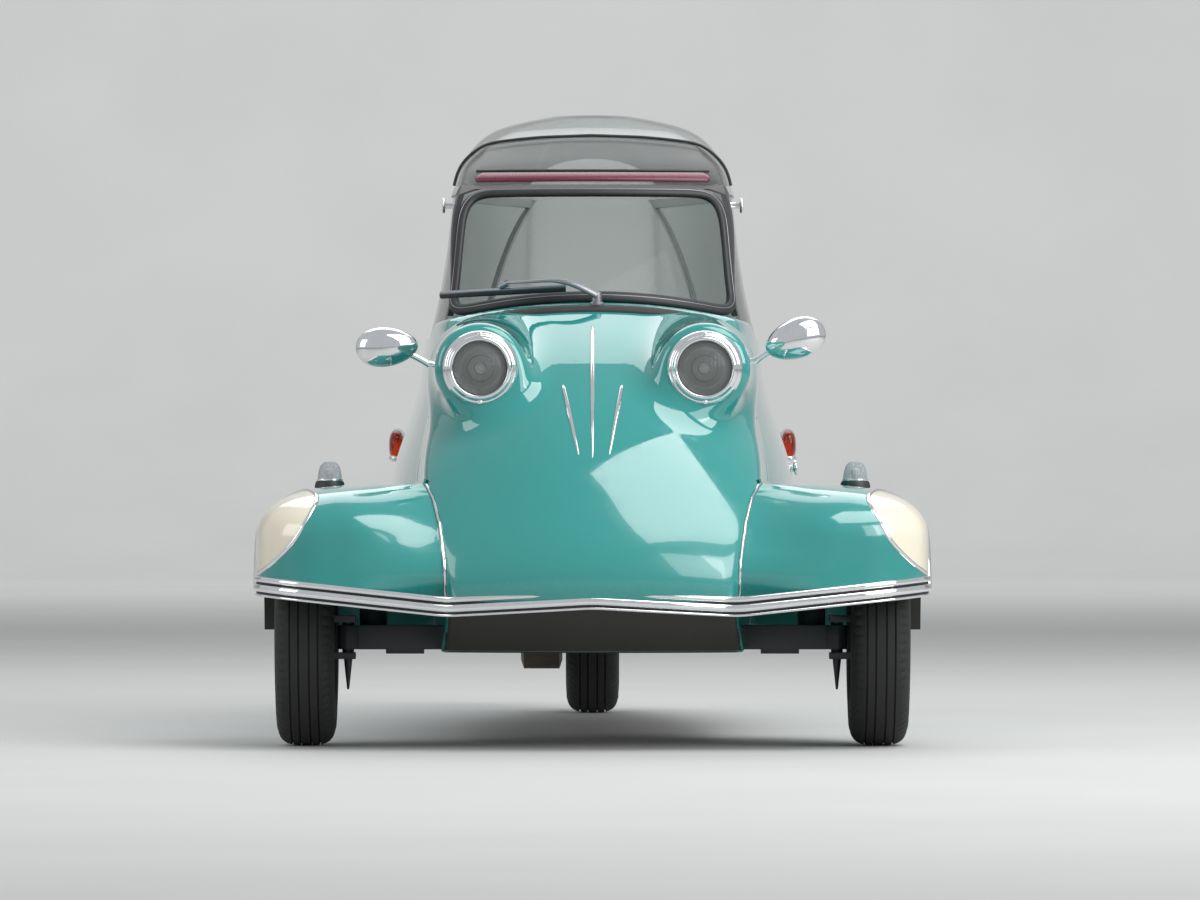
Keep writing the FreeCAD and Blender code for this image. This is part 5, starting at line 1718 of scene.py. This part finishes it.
hoop = smoothed_rows(hoop_path(), 3)
_, hoop_ups = nearest_on(glazing_tree, hoop)
hoop_ups = smoothed_rows(hoop_ups, 4)
finished("hoop_tube", sweep(hoop + 0.0016 * hoop_ups, hoop_ups, round_section(0.0028, 12)), black_rubber,
         "canopy",
         ["dome_hoop"], angle=60)
blind = pane("blind", [(-0.262, 1.062), (0.400, 1.062), (0.400, 1.3), (-0.262, 1.3)])
blind = moved_in(blind, 0.0062)
blind_area = sum(f.calc_area() for f in blind.faces)
blind_piece = finished("blind_sheet", fold_edges(blind, 0.0005, 0.0012), blind_cloth, "canopy", ["sun_blind"])
print("blind area", round(blind_area, 3))


# %% [markdown]
# ## Rubber in the shut line
# The canopy closes against a black rubber that lies in the gap behind the nose,
# a little below the paint, so the canopy's folded edge clears it. Ahead of the
# gap a thick seal lies on the nose, and it thins out down the sides.

# %% Shut-line rubber
def shut_path():
    """Where the canopy's front shut line crosses the skin, from one side to the other."""
    (far, top), (near, low) = SHUT_LINE[0], SHUT_LINE[1]
    path = []
    for column in canopy_grid.transpose(1, 0, 2):
        ahead = column[:, 1] - (far + (top - column[:, 2]) * (near - far) / (top - low))
        crossing = np.nonzero((ahead[:-1] < 0) & (ahead[1:] >= 0))[0]
        if len(crossing) and column[crossing[0], 2] > low:
            i = crossing[0]
            path.append(column[i] + (column[i + 1] - column[i]) * ahead[i] / (ahead[i] - ahead[i + 1]))
    return smoothed_rows(resampled(np.array(path), 260, closed=False), 2)


shut = shut_path()
_, shut_ups = nearest_on(BVHTree.FromBMesh(grid_mesh(canopy_grid)), shut)
shut_ups = smoothed_rows(shut_ups, 4)
ahead = 1 if shut[-1, 0] > shut[0, 0] else -1
bulb_line = [(ahead * a, b) for a, b in ((-0.0030, -0.004), (-0.0030, 0.0028), (0.0000, 0.0066),
                                         (0.0060, 0.0080),
                                         (0.0140, 0.0068), (0.0195, 0.0030), (0.0210, -0.005))]
high = shut[:, 2] > 0.600
finished("cowl_seal", sweep(shut[high], shut_ups[high], bulb_line,
                            scales=np.clip((shut[high, 2] - 0.58) / 0.14, 0.2, 1)),
         black_rubber, "body", angle=60)
finished("shut_rubber", sweep(shut, shut_ups,
                              [(-0.0026, -0.010), (-0.0026, -0.0012), (0.0, -0.0004), (0.0026, -0.0012),
                                               (0.0026, -0.010)]), black_rubber, "body", angle=60)


# %% [markdown]
# ## Wheels
# A tyre is turned like a lamp rim, but its tread needs more: four grooves run
# round it and short cuts divide its shoulders into blocks. We press both
# into the profile while it is being spun. The rim is a dished steel disc with a
# chromed cap over the hub.

# %% Tyre with a tread
TYRE_LINE = [(0.0298, 0.1040), (0.0302, 0.1090), (0.0335, 0.1128), (0.0400, 0.1145), (0.0470, 0.1190),
             (0.0520, 0.1280),
             (0.0545, 0.1400), (0.0548, 0.1500), (0.0540, 0.1640), (0.0528, 0.1755), (0.0535, 0.1765),
             (0.0526, 0.1790),
             (0.0505, 0.1870), (0.0480, 0.1925), (0.0445, 0.1972), (0.0400, 0.2010), (0.0345, 0.2038)]
TREAD_LINE = [(0.0300, 0.2052), (0.0272, 0.2058), (0.0266, 0.2022), (0.0246, 0.2022), (0.0240, 0.2062),
              (0.0170, 0.2070), (0.0112, 0.2073), (0.0106, 0.2034), (0.0086, 0.2034), (0.0080, 0.2074),
              (0.0028, 0.2075)]


def tyre_mesh(steps=288, blocks=72):
    half = TYRE_LINE + TREAD_LINE
    line = half + [(-across, radius) for across, radius in half[::-1]]
    line += [(-0.0298, 0.1040)]
    mesh = bmesh.new()
    rings = []
    for across, radius in line:
        ring = []
        shoulder = 0.0340 < abs(across) < 0.0490 and radius > 0.19
        for i in range(steps):
            part = (i * blocks / steps) % 1.0
            r = radius - (0.0026 if shoulder and part < 0.25 else 0.0)
            angle = 2 * math.pi * i / steps
            ring.append(mesh.verts.new((across, r * math.cos(angle), r * math.sin(angle))))
        rings.append(ring)
    skinned(mesh, rings, closed=True)
    bmesh.ops.remove_doubles(mesh, verts=mesh.verts, dist=1e-6)
    bmesh.ops.recalc_face_normals(mesh, faces=mesh.faces)
    return mesh


def shifted(mesh, place):
    for vert in mesh.verts:
        vert.co += Vector(place)
    return mesh


def wheel_mesh(out):
    """Dished disc between two rolled flanges."""
    outline = [(0.0352, 0.1118), (0.0378, 0.1100), (0.0350, 0.1062), (0.0335, 0.1010), (0.0300, 0.0975),
               (0.0230, 0.0800),
               (0.0200, 0.0760), (0.0120, 0.0640), (0.0120, 0.0115), (0.0060, 0.0115), (0.0040, 0.0600),
               (-0.0250, 0.0930), (-0.0335, 0.0965), (-0.0378, 0.1100), (-0.0352, 0.1118), (-0.0310, 0.1030),
               (0.0310, 0.1030)]
    return lathe(rounded(outline, 1), (0, 0, 0), (out, 0, 0), 120, hollow=True)


CAP = [(0.0100, 0.0630), (0.0135, 0.0635), (0.0165, 0.0610), (0.0180, 0.0570), (0.0175, 0.0530),
       (0.0250, 0.0500),
       (0.0310, 0.0420), (0.0345, 0.0290), (0.0358, 0.0140), (0.0360, 0.0002)]
HUB_HEIGHT = 0.2075
HALF_TRACK = 0.526
WHEELS = [("front_plus_x", (HALF_TRACK, AXLE, HUB_HEIGHT), "wheel_front_left", "front_left", 1),
          ("front_minus_x", (-HALF_TRACK, AXLE, HUB_HEIGHT), "wheel_front_right", "front_right", -1),
          ("rear", (0.0, 1.030, HUB_HEIGHT), "wheel_rear", "rear", 1)]
for label, place, body, node, out in WHEELS:
    finished("tread_" + label, shifted(tyre_mesh(), place), tyre_rubber, body, ["tyre_" + node], angle=38)
    finished("disc_" + label, shifted(wheel_mesh(out), place), silver_wheel, body, ["rim_" + node], angle=50)
    cap = shifted(lathe(rounded(CAP), (0, 0, 0), (out, 0, 0), 96), place)
    finished("cap_" + label, cap, chrome, body, angle=50)


# %% [markdown]
# ## Seats
# The seats are stuffed and covered in maroon leathercloth. A cushion is fullest in
# its middle, its sides pull in between the corners, and piping runs
# round its edge. Sewn channels run across the back.

# %% Cushions
def cushion(size, crown, channels=0, steps=40):
    """Crowned closed cushion about the origin: x across, y its depth, z up."""
    mesh = bmesh.new()
    bmesh.ops.create_cube(mesh, size=2.0)
    bmesh.ops.subdivide_edges(mesh, edges=mesh.edges, cuts=steps, use_grid_fill=True)
    for vert in mesh.verts:
        u = Vector(vert.co)
        power = 5.0
        length = (abs(u.x) ** power + abs(u.y) ** power + abs(u.z) ** power) ** (1 / power)
        u /= length
        pull = 1 - 0.035 * (1 - u.y * u.y)
        deep = 1 - 0.03 * (1 - u.x * u.x)
        sewn = 0.006 * abs(math.sin(math.pi * channels * (u.y
                                                          + 1) / 2)) ** 0.5 if channels and u.z > 0.5 else 0.0
        rise = crown * (1 - u.x**4) * (1 - u.y**4) * (1 if u.z > 0 else 0.1) * max(0.0, abs(u.z)) ** 3
        vert.co = (size[0] / 2 * u.x * pull, size[1] / 2 * u.y * deep,
                   size[2] / 2 * u.z + math.copysign(rise, u.z) + sewn)
    bmesh.ops.recalc_face_normals(mesh, faces=mesh.faces)
    return mesh


def set_down(mesh, place, lean):
    turn = Matrix.Translation(place) @ Matrix.Rotation(lean, 4, "X")
    bmesh.ops.transform(mesh, matrix=turn, verts=mesh.verts)
    return mesh


def piped(size, place, lean):
    """Round piping that follows the upper edge of a cushion."""
    turns = np.linspace(0, 2 * math.pi, 160, endpoint=False)
    c, s = np.cos(turns), np.sin(turns)
    half_x, half_y = size[0] / 2 - 0.006, size[1] / 2 - 0.006
    x = np.sign(c) * np.abs(c) ** 0.36 * half_x * (1 - 0.02 * s * s)
    y = np.sign(s) * np.abs(s) ** 0.36 * half_y
    turn = np.array(Matrix.Rotation(lean, 3, "X"))
    path = np.column_stack([x, y, np.full(len(x), size[2] * 0.36)]) @ turn.T + np.array(place)
    return sweep(resampled(path, 160), np.tile(turn[:, 2], (160, 1)), round_section(0.0045, 10),
                 closed_path=True)


SEATS = [("driver", (0.405, 0.400, 0.085), (0, -0.100, 0.338), (0.395, 0.400, 0.070), (0, 0.142, 0.585), 0.38,
          "driver_seat"),
         ("rear", (0.300, 0.230, 0.080), (0, 0.450, 0.358), (0.295, 0.390, 0.062), (0, 0.640, 0.600), 0.38,
          "rear_seat")]
for label, base_size, base_place, back_size, back_place, recline, node in SEATS:
    base_cushion = set_down(cushion(base_size, 0.016), base_place, 0.0)
    base_piece = finished(label + "_base_cushion", base_cushion, maroon, "body", [node], angle=60)
    back_turn = math.pi / 2 - recline + 0.06
    back_cushion = set_down(cushion(back_size, 0.014, channels=5), back_place, back_turn)
    back_piece = finished(label + "_back_cushion", back_cushion, maroon, "body", angle=60)
    trims = joined(piped(base_size, base_place, 0.0), piped(back_size, back_place, back_turn))
    finished(label + "_piping", trims, grey_trim, "body", angle=60)


# %% [markdown]
# ## Cockpit fittings, wiper and handles
# A round speedometer with a plain face sits in the dashboard, and rubber grips
# cover the ends of the handlebar. Outside, a wiper parks across the foot of
# the screen, knurled knobs hold the side windows, and a T-handle opens the canopy.

# %% Grips, dial, knobs, handle
for side in (-1, 1):
    ends = [Vector((side * 0.158, -0.418, 0.7385)), Vector((side * 0.0675, -0.432, 0.700))]
    route = [ends[0] + (ends[1] - ends[0]) * share for share in np.linspace(0, 0.9, 40)]
    swell = [1.0 + 0.05 * math.cos(i * 1.6) for i in range(40)]
    grip = sweep(route, np.tile((0.0, 1.0, 0.3), (40, 1)), round_section(0.0142, 24), scales=swell)
    finished("grip_plus" if side > 0 else "grip_minus", grip, black_rubber, "steering", angle=60)
DIAL = (0.0, -0.7690, 0.7125)
DIAL_WAY = (0, 1, 0.02)
dial_line = [(-0.004, 0.0180), (0.004, 0.0200), (0.0065, 0.0190), (0.0060, 0.0165), (-0.002, 0.0160)]
finished("dial_ring", lathe(dial_line, DIAL, DIAL_WAY, 60, hollow=True), chrome, "body")
dial_face = lathe([(-0.004, 0.0165), (0.0015, 0.0165), (0.0018, 0.0002)], DIAL, DIAL_WAY, 48)
finished("dial_face", dial_face, black_rubber, "body")
KNOB = [(0.026, 0.0050), (0.0300, 0.0052), (0.0302, 0.0120), (0.0312, 0.0136), (0.0350, 0.0140),
        (0.0362, 0.0128),
        (0.0366, 0.0060), (0.0364, 0.0002)]
knob = lathe([(0.0, 0.0075), (0.003, 0.0072), (0.005, 0.0050)] + KNOB, (0.250, -0.450, 1.008), (1, 0, 0), 96,
             24, 0.0004)
finished("window_knob_discs", both(knob), chrome, "canopy", ["window_knobs"], angle=50)
handle_line = [(-0.010, 0.0165), (0.0018, 0.0168), (0.0035, 0.0160), (0.0040, 0.0090), (0.0060, 0.0072),
               (0.0190, 0.0066),
               (0.0205, 0.0085), (0.0210, 0.0140), (0.0225, 0.0150), (0.0262, 0.0150), (0.0276, 0.0138),
               (0.0280, 0.0002)]
handle_grip = lathe(rounded(handle_line, 1), (0.372, -0.020, 0.505), (1, 0, 0.12), 60)
finished("canopy_t_handle", handle_grip, chrome, "canopy", ["canopy_handle"], angle=50)


# %% Wiper
def bar(points, radius, count=60, squash=1.0, scales=None):
    path = spline_points(points, count)
    return sweep(path, np.tile((0.0, -0.6, 0.8), (count, 1)), round_section(radius, 12, squash),
                 scales=scales)


BLADE = [(-0.284, -0.742, 0.8365), (-0.200, -0.800, 0.8405), (-0.120, -0.845, 0.8440),
         (-0.050, -0.866, 0.8475)]
arm_scales = np.interp(np.linspace(0, 1, 60), [0, 0.35, 0.45, 1], [1.5, 1.2, 0.8, 0.6])
arm = bar([(0.008, -0.893, 0.8300), (-0.020, -0.893, 0.8440), (-0.045, -0.889, 0.8535),
           (-0.110, -0.869, 0.8565),
           (-0.170, -0.834, 0.8545)], 0.0052, squash=0.7, scales=arm_scales)
spine = bar(BLADE, 0.0030, squash=1.2)
clip = bar([(-0.158, -0.838, 0.8540), (-0.172, -0.830, 0.8470)], 0.0065, 8)
post = lathe([(0.0, 0.0130), (0.004, 0.0130), (0.006, 0.0100), (0.018, 0.0092), (0.0235, 0.0080),
              (0.0255, 0.0002)],
             (0.008, -0.886, 0.8125), (0, -0.15, 1), 40)
finished("wiper_arm", joined(arm, spine, clip, post), wiper_steel, "canopy", ["wiper"], angle=50)
lip_line = [(x, y + 0.006, z - 0.0055) for x, y, z in BLADE]
finished("wiper_blade", bar(lip_line, 0.0034, squash=1.6), black_rubber, "canopy", angle=50)


# %% [markdown]
# ## Soft edges for the chassis
# Forged and welded parts have no knife edges. A small bevel as a modifier
# rounds the listed CAD parts that still show, and their faces are shaded smooth
# up to an angle; the CAD mesh keeps its shape.

# %% Bevel the chassis parts
ROUNDED = ("chassis_frame", "front_arm_left", "front_arm_right", "swing_arm", "knuckle_left", "knuckle_right",
           "seat_mountings", "plate_bracket", "engine_block", "canopy_hinge_eyes", "canopy_hinge_lugs",
           "lid_hinge_eye", "lid_hinge_lugs", "dashboard", "steering_bar", "exhaust")
for name in ROUNDED:
    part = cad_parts[name]
    weld = part.modifiers.new("weld", "WELD")
    weld.merge_threshold = 1e-5
    soft = part.modifiers.new("soft_edges", "BEVEL")
    soft.width = 0.0016
    soft.segments = 2
    soft.limit_method = "ANGLE"
    soft.angle_limit = math.radians(40)
    split = part.modifiers.new("edges", "EDGE_SPLIT")
    split.split_angle = math.radians(38)
    part.data.polygons.foreach_set("use_smooth", [True] * len(part.data.polygons))
print("softened", len(ROUNDED), "parts")

# %% [markdown]
# ## Floor and light
# The car stands on a plain pale floor that curves up into a wall, so no horizon
# cuts the picture. Paint and chrome only look right when they have something
# to reflect: a wide soft light overhead draws the long highlight down the nose,
# tall ones at the sides draw its flanks, one behind lights the dome and the
# blind, and a pale sky fills the rest.

# %% Studio
STUDIO_REACH = 26.0
WALL_FOOT = 20.0
WALL_RADIUS = 4.0
WALL_HEIGHT = 14.0


def studio_sweep():
    """Floor that turns up into a back wall on a large radius."""
    turns = np.linspace(0, math.pi / 2, 13)
    line = [(0.0, -STUDIO_REACH)]
    line += [(WALL_RADIUS * (1 - math.cos(t)), WALL_FOOT + WALL_RADIUS * math.sin(t)) for t in turns]
    line.append((WALL_HEIGHT, WALL_FOOT + WALL_RADIUS))
    mesh = bpy.data.meshes.new("studio_sweep")
    corners = [(side * STUDIO_REACH, y, z) for z, y in line for side in (-1, 1)]
    faces = [(2 * i, 2 * i + 1, 2 * i + 3, 2 * i + 2) for i in range(len(line) - 1)]
    mesh.from_pydata(corners, [], faces)
    mesh.polygons.foreach_set("use_smooth", [True] * len(faces))
    cloth = bpy.data.objects.new("studio_sweep", mesh)
    scene.collection.objects.link(cloth)
    return cloth


floor_paint = Finish("floor_paint", roughness=0.75)
floor_paint.set(base_color=floor_paint.mix(floor_paint.noise(1.5, 4.0), (0.50, 0.50, 0.49),
                                           (0.56, 0.56, 0.55)))
# seen from behind, the backdrop is clear, so that it never stands before the car
floor_paint.set(alpha=1.0 - floor_paint.back_side())
backdrop = studio_sweep()
dress(backdrop, floor_paint.material)


def soft_light(name, place, aim, size, power):
    """Rectangular lamp that looks from a place to its aim."""
    data = bpy.data.lights.new(name, "AREA")
    data.shape = "RECTANGLE"
    data.size, data.size_y = size
    data.energy = power
    lamp = bpy.data.objects.new(name, data)
    lamp.location = place
    lamp.rotation_euler = (Vector(aim) - Vector(place)).to_track_quat("-Z", "Y").to_euler()
    scene.collection.objects.link(lamp)


soft_light("overhead", (2.3, -2.7, 5.0), (0, -0.6, 0.4), (4.2, 3.2), 190)
soft_light("left_bank", (-6.0, -3.0, 2.6), (0, -0.4, 0.5), (3.0, 3.2), 70)
soft_light("right_bank", (6.0, -5.0, 3.2), (0, -0.4, 0.5), (3.2, 3.6), 170)
soft_light("front_fill", (6.8, -9.5, 4.4), (0, 0, 0.5), (4.4, 5.6), 220)
soft_light("rear_sky", (0.0, 3.4, 5.0), (0, 0.4, 0.9), (6.0, 4.2), 120)
soft_light("wall_wash", (0.0, 14.0, 10.0), (0, 24.0, 5.0), (18.0, 2.0), 1100)
world = bpy.data.worlds.new("pale_sky")
world.use_nodes = True
world.node_tree.nodes["Background"].inputs["Color"].default_value = (0.86, 0.89, 0.92, 1.0)
world.node_tree.nodes["Background"].inputs["Strength"].default_value = 0.62
scene.world = world
scene.view_settings.view_transform = "Standard"
print("studio is lit")
